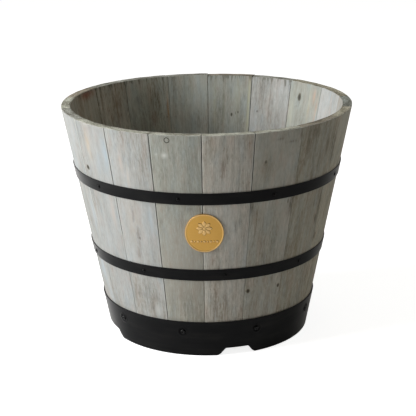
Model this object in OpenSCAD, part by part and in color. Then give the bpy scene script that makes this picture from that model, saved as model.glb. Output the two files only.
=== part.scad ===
// Coopered barrel planter: tapered wooden staves held by two steel hoops and
// a steel base band, with a slatted floor carried in a groove round the inside.
// Millimetres. Origin at floor level on the tub's axis, +Z up, front along -Y.

/* [Tub] */
// Height from the floor to the stave tops
tub_h = 383; // [340:1:460]
// Outside diameter across the stave tops
top_d = 480; // [440:1:540]
// Outside diameter of the stave line where it meets the floor
foot_d = 332; // [300:1:380]
// Gap between the floor and the lower ends of the staves
stave_lift = 17; // [15:0.5:24]

/* [Staves] */
// Width of each stave along the rim, going round from the front joint
stave_widths = [82, 84, 88, 81, 82, 82, 86, 86, 88, 79, 93, 80, 85, 85, 85, 78, 82, 82]; // [76:1:94]
// Thickness of a stave
stave_t = 15.7; // [14:0.1:20]
// Azimuth of the first joint, in degrees from the front
first_joint = -1.95; // [-8:0.05:8]
// Gap between neighbouring staves at the rim
joint_gap = 0.3; // [0.1:0.05:0.6]
// Bevel along the outer edges of a stave
edge_bevel = 0.9; // [0.4:0.1:1.6]
// Bevel round the top of a stave
top_bevel = 0.8; // [0.4:0.1:1.6]

/* [Floor] */
// Height of the groove that holds the floor slats
groove_z = 64; // [62:0.5:90]
// Depth of the groove at its lower edge
groove_depth = 6; // [4:0.5:8]
// Number of floor slats
slat_n = 5; // [3:1:7]
// Thickness of a floor slat
slat_t = 14; // [10:0.5:18]
// Drain gap between floor slats
slat_gap = 8; // [5:0.5:12]
// Width of a batten under the slats
batten_w = 34; // [26:1:44]
// Height of a batten under the slats
batten_h = 20; // [16:1:24]
// Distance between the centre lines of the two battens
batten_spacing = 140; // [110:1:160]
// Running gap between the wooden floor parts and the tub
floor_clear = 0.3; // [0.2:0.05:0.6]

/* [Hoops] */
// Height of the upper hoop's centre line
upper_hoop_z = 278.9; // [240:0.1:300]
// Height of the lower hoop's centre line
lower_hoop_z = 147.6; // [130:0.1:190]
// Width of a hoop
hoop_w = 20; // [16:0.5:26]
// Thickness of the hoop strip
hoop_t = 1.5; // [1:0.1:2.5]
// Gap between a steel strip and what it is wrapped round
strip_clear = 0.1; // [0.05:0.05:0.2]
// Length of the overlap where a strip's two ends meet
lap_len = 44; // [38:1:60]
// Distance from the middle of the lap to each extra nail in it
lap_nail_offset = 13; // [10:0.5:14]

/* [Base band] */
// Height of the base band
band_h = 62.1; // [54:0.1:66]
// Thickness of the base band
band_t = 2.2; // [1.6:0.1:3]
// Height of the screws that hold the band
band_screw_z = 43.7; // [36:0.1:48]
// Turn of the band's screws from the middle of their staves, in degrees
band_screw_turn = -1.9; // [-3:0.1:3]
// Number of notches in the band's lower edge
notch_n = 4; // [2:1:6]
// Azimuth of the first notch
notch_turn = 15.6; // [8:0.1:20]
// Width of a front or back notch at the floor
notch_foot_w = 57; // [44:1:66]
// Width of a front or back notch at its top
notch_top_w = 37; // [26:1:40]
// How much wider the notches at the sides are, to take a hand
side_notch_extra = 35; // [20:1:44]
// Height of a notch
notch_h = 13; // [8:0.5:14]
// Radius of a notch's upper corners
notch_r = 4; // [2:0.5:6]

/* [Fasteners] */
// Diameter of a hoop nail's domed head
nail_head_d = 5.4; // [4.5:0.1:7]
// Height of a hoop nail's domed head
nail_head_h = 1.5; // [1:0.1:2]
// Diameter of a hoop nail's shank
nail_d = 2.2; // [1.6:0.1:2.8]
// Length of a hoop nail's shank
nail_len = 13; // [9:0.5:14]
// Diameter of a band screw's head
screw_head_d = 8; // [7:0.1:9]
// Height of a band screw's head
screw_head_h = 2.2; // [1.6:0.1:2.6]
// Diameter of a band screw's shank
screw_d = 4; // [3:0.1:4.4]
// Length of a band screw's shank
screw_len = 13; // [10:0.5:14]
// Diameter of the dished seat round a band screw
dish_d = 13.4; // [11:0.1:15]
// Depth of the dished seat
dish_depth = 1.3; // [0.8:0.1:1.5]
// Diameter of a floor screw's countersunk head
floor_screw_head_d = 7.4; // [6:0.1:9]
// Diameter of a floor screw's shank
floor_screw_d = 3.6; // [3:0.1:4.4]
// Length of a floor screw
floor_screw_len = 29; // [24:0.5:32]
// Gap all round a shank in its hole
hole_clear = 0.15; // [0.1:0.05:0.3]

/* [Plaque] */
// Width of the oval plaque
plaque_w = 60; // [40:1:80]
// Height of the oval plaque
plaque_h = 67; // [40:1:80]
// Thickness of the plaque
plaque_t = 1.6; // [1:0.1:2.4]
// Height of the plaque's centre
plaque_z = 221.6; // [200:0.1:230]
// Azimuth of the plaque's centre, in degrees from the front
plaque_turn = -1.45; // [-6:0.05:6]
// Width of the plaque's raised border
plaque_border = 2.6; // [1.5:0.1:4]
// Height of the plaque's raised border
plaque_border_h = 0.5; // [0.3:0.1:0.8]
// Distance between the plaque's two rear prongs
prong_spacing = 36; // [24:1:38]
// Diameter of a prong
prong_d = 3; // [2:0.1:4]
// Length of a prong
prong_len = 8; // [5:0.5:10]

/* [Hidden] */
stave_n = len(stave_widths);
function stave_id(i) = str("stave_", i < 10 ? "0" : "", i);
function slat_id(i) = str("floor_slat_", i);

$fn = 64;
// Facets round the tub's own circles
tub_fn = 180;
eps = 0.01;
wood = "#8f8c80";
bare_wood = "#a08a68";
black_steel = "#1c1c1f";
zinc = "#b9bcc0";
brass = "#c4964e";

// The wall leans out by the same amount all the way up.
taper = (top_d - foot_d) / 2 / tub_h;
lean = atan(taper);
wall = stave_t / cos(lean);
function r_out(z) = foot_d / 2 + taper * z;
function r_in(z) = r_out(z) - wall;

// Each stave takes its share of the circle. Joint k lies after stave k.
function sum_to(v, k) = k <= 0 ? 0 : v[k - 1] + sum_to(v, k - 1);
width_sum = sum_to(stave_widths, stave_n);
function joint_az(k) = first_joint + 360 * sum_to(stave_widths, k) / width_sum;
function stave_az(i) = (joint_az(i - 1) + joint_az(i)) / 2;
gap_angle = 360 * joint_gap / (PI * top_d);

// Fasteners alternate: odd staves take the lower hoop, even staves the upper hoop and the band.
first_odd = 1;
first_even = 2;

// Each strip laps over a stave at the back. The laps are staggered.
half_round = 2 * floor(stave_n / 4);
upper_lap = half_round + 2;
lower_lap = half_round + 1;
band_lap = half_round + 4;

groove_h = slat_t + 2 * floor_clear;
groove_r = r_in(groove_z) + groove_depth;
slat_r = groove_r - floor_clear;
slat_pitch = (2 * slat_r + slat_gap) / slat_n;
slat_w = slat_pitch - slat_gap;
slat_z = groove_z + floor_clear;
batten_z = slat_z - batten_h;
batten_end_gap = 4 * floor_clear;
batten_corner_x = batten_spacing / 2 + batten_w / 2;
batten_l = 2 * (sqrt(pow(r_in(batten_z), 2) - pow(batten_corner_x, 2)) - batten_end_gap);
floor_screw_head_h = (floor_screw_head_d - floor_screw_d) / 2;

hoop_half = hoop_w / 2 * cos(lean);

// A strip's two ends meet at a slit, a small share of half its lap. The riser that joins its
// lapped layer to the lower one is sunk into both by a share of the strip's thickness.
slit_share = 0.05;
riser_sink = 0.75;

// A pan head is a low drum with a cone on it, and a cross is pressed into its flat top.
screw_rim_h = screw_head_h / 2;
screw_top_d = 0.7 * screw_head_d;
cross_l = screw_head_d / 2;
cross_w = screw_head_d / 8;

// The oval's blocks reach this far in and out through the wall's curve, and the
// plaque's layers are swept this far to each side, well past its edge.
oval_reach = 4 * plaque_t;
oval_sides = 72;
plaque_sweep = 22.5;

// Places children on the stave face at an azimuth and height: Z out, Y up the slope.
module at_wall(az, z, off = 0) {
  rotate([0, 0, az])
    translate([0, -r_out(z), z])
      rotate([90 + lean, 0, 0])
        translate([0, 0, off])
          children();
}

// Sweeps a (radius, height) outline from one azimuth to another.
module sweep(az0, az1, points) {
  rotate([0, 0, az0 - 90])
    rotate_extrude(angle = az1 - az0, $fn = tub_fn)
      polygon(points);
}

// Outline of a layer lying on the staves between two heights, from one offset to another.
function layer(z0, z1, d0, d1) = [
  [r_out(z0) + d0, z0], [r_out(z0) + d1, z0],
  [r_out(z1) + d1, z1], [r_out(z1) + d0, z1]];

// Outline of a stave: bevelled at the top and grooved inside for the floor.
stave_outline = [
  [r_in(stave_lift), stave_lift],
  [r_out(stave_lift), stave_lift],
  [r_out(tub_h - top_bevel), tub_h - top_bevel],
  [r_out(tub_h) - top_bevel, tub_h],
  [r_in(tub_h) + top_bevel, tub_h],
  [r_in(tub_h - top_bevel), tub_h - top_bevel],
  [r_in(groove_z + groove_h), groove_z + groove_h],
  [groove_r, groove_z + groove_h],
  [groove_r, groove_z],
  [r_in(groove_z), groove_z]];

// Distance from the stave face to a strip's outer face, on the lap or off it.
function strip_face(t, lapped) = strip_clear + t + (lapped ? strip_clear + t : 0);

// A square bar set on its corner, along the outer edge of a stave at an azimuth.
module edge_cutter(az) {
  side = edge_bevel * sqrt(2);
  rotate([0, 0, az])
    translate([0, -r_out(0), 0])
      rotate([lean, 0, 0])
        rotate([0, 0, 45])
          cube([side, side, 3 * tub_h], center = true);
}

// A nail's hole through a stave or a hoop, long enough for the lap.
module nail_hole(az, z) {
  at_wall(az, z, -nail_len - hole_clear)
    cylinder(d = nail_d + 2 * hole_clear, h = nail_len + strip_face(hoop_t, true) + hoop_t);
}

module lap_holes(i, z) {
  for (side = [-1, 1])
    nail_hole(stave_az(i) + side * lap_nail_turn(z), z);
}

function lap_nail_turn(z) = lap_nail_offset / r_out(z) * 180 / PI;
function lap_half_turn(z) = lap_len / 2 / r_out(z) * 180 / PI;
function band_screw_az(i) = stave_az(i) + band_screw_turn;

// A band screw's hole in a stave.
module screw_hole(az, z) {
  at_wall(az, z, -screw_len - hole_clear)
    cylinder(d = screw_d + 2 * hole_clear, h = screw_len + band_t);
}

// A band screw's hole and dished seat in one, with the band's face at Z = 0.
module dished_hole() {
  hole_r = screw_d / 2 + hole_clear;
  seat_r = screw_head_d / 2 + 2 * hole_clear;
  deepest = strip_face(band_t, true) + band_t;
  rotate_extrude()
    polygon([
      [0, -deepest], [hole_r, -deepest], [hole_r, -dish_depth], [seat_r, -dish_depth],
      [dish_d / 2, 0], [dish_d / 2, band_t], [0, band_t]]);
}

module prongs(extra) {
  for (side = [-1, 1])
    at_wall(plaque_turn, plaque_z, -prong_len - extra)
      translate([side * prong_spacing / 2, 0, 0])
        cylinder(d = prong_d + 2 * extra, h = prong_len + extra + plaque_t / 2);
}

module stave(i) {
  color(wood)
  difference() {
    sweep(joint_az(i - 1) + gap_angle / 2, joint_az(i) - gap_angle / 2, stave_outline);
    edge_cutter(joint_az(i - 1) + gap_angle / 2);
    edge_cutter(joint_az(i) - gap_angle / 2);
    if (i % 2 == 1) nail_hole(stave_az(i), lower_hoop_z);
    if (i % 2 == 0) nail_hole(stave_az(i), upper_hoop_z);
    if (i % 2 == 0) screw_hole(band_screw_az(i), band_screw_z);
    if (i == upper_lap) lap_holes(i, upper_hoop_z);
    if (i == lower_lap) lap_holes(i, lower_hoop_z);
    if (i == 1 || i == stave_n) prongs(hole_clear);
  }
}

function slat_y(i) = (i - (slat_n + 1) / 2) * slat_pitch;

// Middle of the stretch where a slat lies on the battens.
function floor_screw_y(i) = (
  max(slat_y(i) - slat_w / 2, -batten_l / 2) +
  min(slat_y(i) + slat_w / 2, batten_l / 2)) / 2;

// The floor screws stand on the batten centre lines, one through each slat.
module floor_screw_places() {
  for (side = [-1, 1], i = [1:slat_n])
    translate([side * batten_spacing / 2, floor_screw_y(i), slat_z + slat_t])
      children();
}

module floor_screw_shape(extra) {
  translate([0, 0, -floor_screw_len - extra])
    cylinder(d = floor_screw_d + 2 * extra, h = floor_screw_len + extra);
  translate([0, 0, -floor_screw_head_h])
    cylinder(d1 = floor_screw_d + 2 * extra, d2 = floor_screw_head_d + 2 * extra, h = floor_screw_head_h);
}

module floor_slat(i) {
  color(bare_wood)
  difference() {
    intersection() {
      translate([0, 0, slat_z]) cylinder(r = slat_r, h = slat_t, $fn = tub_fn);
      translate([-slat_r, slat_y(i) - slat_w / 2, slat_z]) cube([2 * slat_r, slat_w, slat_t]);
    }
    floor_screw_places() floor_screw_shape(hole_clear);
  }
}

module batten(side) {
  color(bare_wood)
  difference() {
    translate([side * batten_spacing / 2 - batten_w / 2, -batten_l / 2, batten_z])
      cube([batten_w, batten_l, batten_h]);
    floor_screw_places() floor_screw_shape(hole_clear);
  }
}

module left_batten() { batten(-1); }
module right_batten() { batten(1); }

module floor_screws() {
  color(zinc)
    floor_screw_places()
      translate([0, 0, -hole_clear / 2]) floor_screw_shape(0);
}

// A strip wrapped round the staves. Its last end steps out and laps over the first.
module strip(z0, z1, t, lap_az, half_turn) {
  inner = strip_clear;
  outer = strip_clear + t;
  lapped = outer + strip_clear;
  slit = slit_share * half_turn;
  first_end = lap_az - half_turn + slit;
  riser_az = first_end - 2 * slit;
  sunk = riser_sink * t;
  sweep(first_end, first_end + 360 - slit, layer(z0, z1, inner, outer));
  sweep(riser_az - slit / 2, riser_az + slit / 2, layer(z0, z1, outer - sunk, lapped + sunk));
  sweep(riser_az - slit, lap_az + half_turn, layer(z0, z1, lapped, lapped + t));
}

module hoop(z, first_stave, lap) {
  color(black_steel)
  difference() {
    strip(z - hoop_half, z + hoop_half, hoop_t, stave_az(lap), lap_half_turn(z));
    for (i = [first_stave:2:stave_n]) nail_hole(stave_az(i), z);
    lap_holes(lap, z);
  }
}

module upper_hoop() { hoop(upper_hoop_z, first_even, upper_lap); }
module lower_hoop() { hoop(lower_hoop_z, first_odd, lower_lap); }

// Corner points of an outline, each replaced by an arc of radius r.
function unit(v) = v / norm(v);
function rounded_corner(a, b, c, r, steps = 6) =
  let (u = unit(a - b), w = unit(c - b), half = acos(u * w) / 2,
       mid = b + unit(u + w) * r / sin(half),
       start = b + u * r / tan(half) - mid,
       turn = (180 - 2 * half) * sign(u[1] * w[0] - u[0] * w[1]))
  [for (s = [0:steps]) let (t = turn * s / steps)
    mid + [start[0] * cos(t) - start[1] * sin(t), start[0] * sin(t) + start[1] * cos(t)]];

// One notch through the band's lower edge: a low trapezium with rounded upper corners.
module notch(az, extra_w) {
  side = (notch_foot_w - notch_top_w) / 2;
  half_foot = (notch_foot_w + extra_w) / 2 + side;
  half_top = (notch_top_w + extra_w) / 2;
  left_foot = [-half_foot, -notch_h];
  left_top = [-half_top, notch_h];
  right_top = [half_top, notch_h];
  right_foot = [half_foot, -notch_h];
  rotate([0, 0, az])
    translate([0, -r_out(0) / 2, 0])
      rotate([90, 0, 0])
        linear_extrude(height = r_out(0))
          polygon(concat(
            [left_foot],
            rounded_corner(left_foot, left_top, right_top, notch_r),
            rounded_corner(left_top, right_top, right_foot, notch_r),
            [right_foot]));
}

module base_band() {
  color(black_steel)
  difference() {
    strip(0, band_h, band_t, band_screw_az(band_lap), lap_half_turn(band_screw_z));
    for (k = [0:notch_n - 1]) notch(notch_turn + 360 * k / notch_n, k % 2 * side_notch_extra);
    for (i = [first_even:2:stave_n])
      at_wall(band_screw_az(i), band_screw_z, strip_face(band_t, i == band_lap)) dished_hole();
  }
}

// A round nail with a low domed head, its underside at Z = 0.
module nail() {
  translate([0, 0, -nail_len]) cylinder(d = nail_d, h = nail_len + eps);
  dome_r = (pow(nail_head_d / 2, 2) + pow(nail_head_h, 2)) / (2 * nail_head_h);
  intersection() {
    cylinder(d = nail_head_d, h = nail_head_h + eps);
    translate([0, 0, nail_head_h - dome_r]) sphere(r = dome_r);
  }
}

module nail_at(az, z, lapped) {
  at_wall(az, z, strip_face(hoop_t, lapped) + strip_clear) nail();
}

module hoop_nails(z, first_stave, lap) {
  color(black_steel) {
    for (i = [first_stave:2:stave_n]) nail_at(stave_az(i), z, i == lap);
    for (side = [-1, 1]) nail_at(stave_az(lap) + side * lap_nail_turn(z), z, true);
  }
}

module upper_hoop_nails() { hoop_nails(upper_hoop_z, first_even, upper_lap); }
module lower_hoop_nails() { hoop_nails(lower_hoop_z, first_odd, lower_lap); }

// A pan-head screw, its underside at Z = 0.
module pan_screw() {
  translate([0, 0, -screw_len]) cylinder(d = screw_d, h = screw_len + eps);
  difference() {
    union() {
      cylinder(d = screw_head_d, h = screw_rim_h);
      translate([0, 0, screw_rim_h])
        cylinder(d1 = screw_head_d, d2 = screw_top_d, h = screw_head_h - screw_rim_h);
    }
    for (turn = [0, 90])
      rotate([0, 0, turn])
        translate([-cross_l / 2, -cross_w / 2, screw_rim_h])
          cube([cross_l, cross_w, screw_head_h]);
  }
}

module base_band_screws() {
  color(black_steel)
    for (i = [first_even:2:stave_n])
      at_wall(band_screw_az(i), band_screw_z, strip_face(band_t, i == band_lap) - dish_depth + strip_clear)
        pan_screw();
}

// Oval outline with a given margin taken off all round.
function oval(margin) = [for (k = [1:oval_sides]) let (a = 360 * k / oval_sides)
  [(plaque_w / 2 - margin) * cos(a), (plaque_h / 2 - margin) * sin(a)]];

// A block over the plaque's oval, reaching through the wall's curve.
module oval_block(margin) {
  at_wall(plaque_turn, plaque_z, -oval_reach)
    linear_extrude(height = 2 * oval_reach)
      polygon(oval(margin));
}

module plaque_layer(d0, d1) {
  sweep(plaque_turn - plaque_sweep, plaque_turn + plaque_sweep,
        layer(plaque_z - plaque_h, plaque_z + plaque_h, d0, d1));
}

module plaque() {
  face = strip_clear + plaque_t;
  color(brass) {
    intersection() {
      plaque_layer(strip_clear, face + plaque_border_h);
      oval_block(0);
      difference() {
        oval_block(-1);
        intersection() {
          plaque_layer(face, face + 2 * plaque_border_h);
          oval_block(plaque_border);
        }
      }
    }
    prongs(0);
  }
}

for (i = [1:stave_n]) stave(i);
for (i = [1:slat_n]) floor_slat(i);
left_batten();
right_batten();
floor_screws();
upper_hoop();
lower_hoop();
base_band();
upper_hoop_nails();
lower_hoop_nails();
base_band_screws();
plaque();
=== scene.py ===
# %% [markdown]
# # A wooden barrel planter
#
# The real object is a coopered tub. Eighteen tapered fir staves stand edge to edge in a cone that opens
# upwards. Two flat steel hoops and a tall steel band round the foot hold them together, and a slatted floor
# sits in a groove inside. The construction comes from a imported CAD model, which is the fixed frame of this
# scene. Blender adds what the construction leaves plain: rounded and slightly uneven wood with its grain,
# knots and thin wash, lapped steel strips with dished screw seats, and a stamped brass plaque.
#
# Every cell below makes one kind of piece or one finish. Lengths are in millimetres until the moment that
# they go into a mesh, because a maker thinks in millimetres, and Blender's own unit here is the metre.

# %% Load the frame
import functools
import math

import bpy
import numpy as np
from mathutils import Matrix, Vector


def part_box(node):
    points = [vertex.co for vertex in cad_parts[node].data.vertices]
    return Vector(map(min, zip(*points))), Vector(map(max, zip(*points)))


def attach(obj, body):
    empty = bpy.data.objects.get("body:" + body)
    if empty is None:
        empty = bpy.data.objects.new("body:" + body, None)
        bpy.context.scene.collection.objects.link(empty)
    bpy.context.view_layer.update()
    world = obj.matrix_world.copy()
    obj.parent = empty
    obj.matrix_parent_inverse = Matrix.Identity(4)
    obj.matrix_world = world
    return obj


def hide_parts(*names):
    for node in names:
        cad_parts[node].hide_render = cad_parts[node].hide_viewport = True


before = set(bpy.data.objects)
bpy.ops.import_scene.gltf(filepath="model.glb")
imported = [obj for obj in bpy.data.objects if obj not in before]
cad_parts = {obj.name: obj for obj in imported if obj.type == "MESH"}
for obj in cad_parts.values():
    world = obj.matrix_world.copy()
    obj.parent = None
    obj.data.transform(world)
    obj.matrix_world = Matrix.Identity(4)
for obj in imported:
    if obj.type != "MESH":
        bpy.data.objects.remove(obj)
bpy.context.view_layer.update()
MM = 0.001

# %% [markdown]
# ## Measuring the frame
#
# The staves have eighteen different widths. They could be typed in again here, but then the two models
# could drift apart. It is safer to read them off the CAD nodes: the outermost azimuths of a stave's
# vertices are its two joints, and the boxes of the hoops and the band give their heights. Of the tub's
# body, only the five sizes of the cone are written again.

# %% The cone and the joints
TUB_HEIGHT = 383.0
RIM_RADIUS = 240.0
FOOT_RADIUS = 166.0
STAVE_THICKNESS = 15.7
STAVE_LIFT = 17.0
TAPER = (RIM_RADIUS - FOOT_RADIUS) / TUB_HEIGHT
LEAN = math.atan(TAPER)
WALL = STAVE_THICKNESS / math.cos(LEAN)
STAVE_COUNT = sum(name.startswith("stave_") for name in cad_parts)


def cad_points(node):
    """The vertices of a CAD node in millimetres, one row each."""
    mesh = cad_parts[node].data
    flat = np.empty(3 * len(mesh.vertices))
    mesh.vertices.foreach_get("co", flat)
    return flat.reshape(-1, 3) / MM


def azimuths(points):
    """Degrees round the upright axis: 0 at the front, growing to the right as seen from the front."""
    return np.degrees(np.arctan2(points[:, 0], -points[:, 1]))


def wrapped(angle):
    """The same angle between -180 and 180 degrees."""
    return (angle + 180) % 360 - 180


def arc_of(node):
    """First and last azimuth of a node that is narrower than half the circle."""
    points = cad_points(node)
    middle = math.degrees(math.atan2(points[:, 0].mean(), -points[:, 1].mean()))
    offsets = wrapped(azimuths(points) - middle)
    return middle + offsets.min(), middle + offsets.max()


def outer_radius(height):
    """Radius of the staves' outer face, which grows evenly with the height."""
    return FOOT_RADIUS + TAPER * height


firsts, lasts = np.array([arc_of(f"stave_{i:02d}") for i in range(1, STAVE_COUNT + 1)]).T
# The model's staves leave a hair's breadth between them. Here they meet halfway.
halfway = wrapped(np.roll(firsts, -1) - lasts) / 2
firsts, lasts = firsts - np.roll(halfway, 1), lasts + halfway
stave_middles = (firsts + lasts) / 2
stave_halves = (lasts - firsts) / 2
print("stave widths at the rim:", np.round(2 * np.radians(stave_halves) * RIM_RADIUS, 1))

# %% [markdown]
# ## The camera
#
# A camera position could be guessed and nudged until the picture looks right. Here it was fitted instead:
# about 150 points on the rim, the hoops, the band and the two outlines were matched, and the fit left a
# third of a pixel. The lens is long for a table-top picture, so the far rim is hardly smaller than the near
# one. The small roll is real too, because the tub in the picture leans by half a degree.

# %% Camera
IMAGE_SIZE = 416
FOCAL_PIXELS = 1312.61
CAMERA_PLACE = np.array([0.0009, -2.1276, 0.8470])
CAMERA_PITCH = 0.2960
CAMERA_YAW = -0.0001
CAMERA_ROLL = -0.0101

forward = np.array([math.sin(CAMERA_YAW) * math.cos(CAMERA_PITCH),
                    math.cos(CAMERA_YAW) * math.cos(CAMERA_PITCH),
                    -math.sin(CAMERA_PITCH)])
level_right = np.array([math.cos(CAMERA_YAW), -math.sin(CAMERA_YAW), 0.0])
level_up = np.cross(level_right, forward)
right = level_right * math.cos(CAMERA_ROLL) + level_up * math.sin(CAMERA_ROLL)
up = np.cross(right, forward)

camera_data = bpy.data.cameras.new("camera")
camera_data.sensor_width = 36.0
camera_data.lens = camera_data.sensor_width * FOCAL_PIXELS / IMAGE_SIZE
camera = bpy.data.objects.new("camera", camera_data)
turn = np.eye(4)
turn[:3, 0], turn[:3, 1], turn[:3, 2], turn[:3, 3] = right, up, -forward, CAMERA_PLACE
camera.matrix_world = turn.T.tolist()
bpy.context.scene.collection.objects.link(camera)
bpy.context.scene.camera = camera
print("lens in mm:", round(camera_data.lens, 2))

# %% [markdown]
# ## One way to make boards and straps: a bent box
#
# Staves, hoops, the base band, floor slats and battens are all long pieces with four faces and two ends.
# They could be extruded profiles with bevels, but a bevel modifier stumbles over thin straps. Here each is
# the surface of a box cut into a grid. Its edges are rounded by one formula, and then the whole box is bent
# into place by a function of its three coordinates. The three coordinates stay known for each vertex, so
# the grain of the wood can follow them later.

# %% Grid of a box
# Where grid lines cross a rounded edge, as shares of its radius, and how close two lines may come.
EDGE_LINES = np.array([0.0, 0.42, 0.75])
CLOSEST_SHARE = 0.05


def grid_lines(low, high, step, edge, extra=()):
    """Coordinates from low to high about a step apart, closer together within the rounded edge at each end.

    Extra coordinates, such as a fine patch round a screw, are merged in.
    """
    count = max(1, round((high - low - 2 * edge) / step))
    inner = np.linspace(low + edge, high - edge, count + 1)
    curl = EDGE_LINES * edge
    lines = np.concatenate([low + curl, inner, high - curl, np.asarray(extra, float)])
    lines = np.unique(np.round(lines, 4))
    keep = np.concatenate([[True], np.diff(lines) > CLOSEST_SHARE * min(step, edge)])
    keep[-1] = True
    return lines[keep]


def box_surface(across, deep, tall):
    """Points and outward quads on the surface of a box, from its grid lines along x, y and z.

    All grid points are numbered in a 3-D array, the ones inside are left out, and each side of the box is
    one slice of that array. Neighbouring sides share their edge points, so the surface is closed. The last
    result tells which side each quad is on: 0 and 1 are x, 2 and 3 are y, 4 and 5 are z.
    """
    shape = (len(across), len(deep), len(tall))
    grid = np.stack(np.meshgrid(across, deep, tall, indexing="ij"), axis=-1)
    skin = np.ones(shape, bool)
    skin[1:-1, 1:-1, 1:-1] = False
    number = np.full(shape, -1)
    number[skin] = np.arange(skin.sum())

    def quads(sheet, flip):
        corners = [sheet[:-1, :-1], sheet[1:, :-1], sheet[1:, 1:], sheet[:-1, 1:]]
        if flip:
            corners.reverse()
        return np.stack(corners, axis=-1).reshape(-1, 4)

    sides = [quads(number[0], True), quads(number[-1], False),
             quads(number[:, 0], False), quads(number[:, -1], True),
             quads(number[:, :, 0], True), quads(number[:, :, -1], False)]
    side_of = np.concatenate([np.full(len(side), k) for k, side in enumerate(sides)])
    return grid[skin], np.concatenate(sides), side_of


def rounded(points, radius):
    """Rounds a box's edges. Each point moves onto a ball of that radius round the nearest point of the box
    shrunk by the radius, so flat faces stay flat and edges become quarter rounds."""
    core = np.clip(points, points.min(axis=0) + radius, points.max(axis=0) - radius)
    arm = points - core
    length = np.linalg.norm(arm, axis=1, keepdims=True)
    return core + arm * radius / np.maximum(length, 1e-9)


box_points, box_quads, _ = box_surface(np.arange(4.0), np.arange(3.0), np.arange(5.0))
print("a 3 x 2 x 4 box has", len(box_points), "points and", len(box_quads), "quads")

# %% [markdown]
# ## From arrays to a Blender object
#
# The mesh is filled from arrays in one go. Smooth shading is on everywhere, because every edge has its own
# small round. Any further array is stored as an attribute that the materials read.

# %% Make a piece
def make_piece(name, points_mm, faces, materials, face_material=None, attributes=None):
    """A mesh object from points in millimetres. attributes maps a name to an (n, 3) vector array or an
    (n, 4) colour array on the points."""
    mesh = bpy.data.meshes.new(name)
    mesh.from_pydata((points_mm * MM).tolist(), [], [list(face) for face in faces])
    mesh.shade_smooth()
    for material in materials:
        mesh.materials.append(material)
    if face_material is not None:
        mesh.polygons.foreach_set("material_index", np.asarray(face_material, np.int32))
    for key, values in (attributes or {}).items():
        kind, field = ("FLOAT_VECTOR", "vector") if values.shape[1] == 3 else ("FLOAT_COLOR", "color")
        layer = mesh.attributes.new(key, kind, "POINT")
        layer.data.foreach_set(field, values.astype(np.float32).ravel())
    mesh.update()
    piece = bpy.data.objects.new(name, mesh)
    bpy.context.scene.collection.objects.link(piece)
    return piece


def stands_for(piece, node):
    """The piece takes a CAD node's place and moves with the tub."""
    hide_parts(node)
    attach(piece, "root")


# %% [markdown]
# ## Colours and nodes
#
# Colours are written as the hex values that a paint card shows. Blender's nodes want linear light, so one
# function converts them. A second function adds a node, sets its properties and fills its inputs: an input
# that is another node's output is linked, anything else is typed in. Each material keeps that function tied
# to its own tree under the name "add". Natural surfaces vary at several sizes at once, so a last function
# adds a whole table of noises, each with its real size in millimetres.

# %% Colour and node helpers
def linear(hex_colour, alpha=1.0):
    """The sRGB colour #rrggbb as linear red, green, blue and alpha.

    Each channel c from 0 to 1 becomes c / 12.92 below 0.04045 and ((c + 0.055) / 1.055) to the 2.4 above.
    """
    srgb = np.array([int(hex_colour[k:k + 2], 16) for k in (1, 3, 5)]) / 255
    light = np.where(srgb <= 0.04045, srgb / 12.92, ((srgb + 0.055) / 1.055) ** 2.4)
    return (*light.tolist(), alpha)


def add_node(tree, kind, inputs=None, **settings):
    """Adds a shader node to a tree and returns it.

    inputs maps an input's name or number to what it gets: a node, whose first output is linked, one output
    of a node, or a value.
    """
    new = tree.nodes.new("ShaderNode" + kind)
    for key, value in settings.items():
        setattr(new, key, value)
    for key, value in (inputs or {}).items():
        if isinstance(value, bpy.types.Node):
            value = value.outputs[0]
        if isinstance(value, bpy.types.NodeSocket):
            tree.links.new(value, new.inputs[key])
        else:
            new.inputs[key].default_value = value
    return new


def new_material(name):
    """An empty material, and add_node tied to its tree."""
    material = bpy.data.materials.new(name)
    material.use_nodes = True
    material.node_tree.nodes.clear()
    return material, functools.partial(add_node, material.node_tree)


def set_ramp(ramp_node, *stops):
    """Gives a colour ramp its stops, each a place from 0 to 1 and a hex colour, lowest place first."""
    elements = ramp_node.color_ramp.elements
    elements[0].position, elements[0].color = stops[0][0], linear(stops[0][1])
    elements[1].position, elements[1].color = stops[-1][0], linear(stops[-1][1])
    for place, colour in stops[1:-1]:
        elements.new(place).color = linear(colour)


def layered_noise(add, place, layers):
    """A noise for each row of name, size in millimetres along x, y and z, detail and roughness.

    Each noise reads the place divided by its size, so that its spots are as large as the size says.
    """
    layer = {}
    for name, size, detail, roughness in layers:
        scaled = add("VectorMath", {0: place, 1: size}, operation="DIVIDE")
        layer[name] = add("TexNoise", {"Vector": scaled, "Scale": 1.0, "Detail": detail,
                                       "Roughness": roughness})
    return layer


print("weathered grey in linear light:", [round(v, 3) for v in linear("#b6b4ab")[:3]])

# %% [markdown]
# ## Grey-washed fir
#
# The staves are plain-sawn fir that was brushed with a thin grey-white wash and wiped. It is matt and dry.
# The wash hides most of the grain: what shows are soft streaks along the board, cloudy patches where more
# wash stayed, and a few clear rings where it was wiped off. One stretched noise would look like brushed
# metal, because real boards vary at several widths at once. So several layers are added up, each with a
# real size across and along the board:
#
# - fibres: 1.9 mm wide and 11 mm long
# - streaks: 5 mm wide and 90 mm long
# - clouds of wash: 15 mm wide and 55 mm long
# - wear: 60 mm wide and 160 mm long, which decides where rings and bare wood show
# - hues: 13 mm wide and 48 mm long, for the faint rose and blue of the wash
# - specks: 2.6 mm wide and 7 mm long, for short dark dashes
# - rings: a saw-tooth 6.5 mm wide, dark at one side only, because late wood ends sharply
#
# All of them read the attribute "grain", which is across, along and into the board in millimetres. The
# grain of a real board isn't straight, so it wanders sideways by a few millimetres along the board.

# %% Grain of the staves
WANDER_LAYER = [("wander", (70.0, 330.0, 60.0), 2.0, 0.5)]
WANDER_MM = 14.0
RING_SPACING = 6.5
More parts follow.
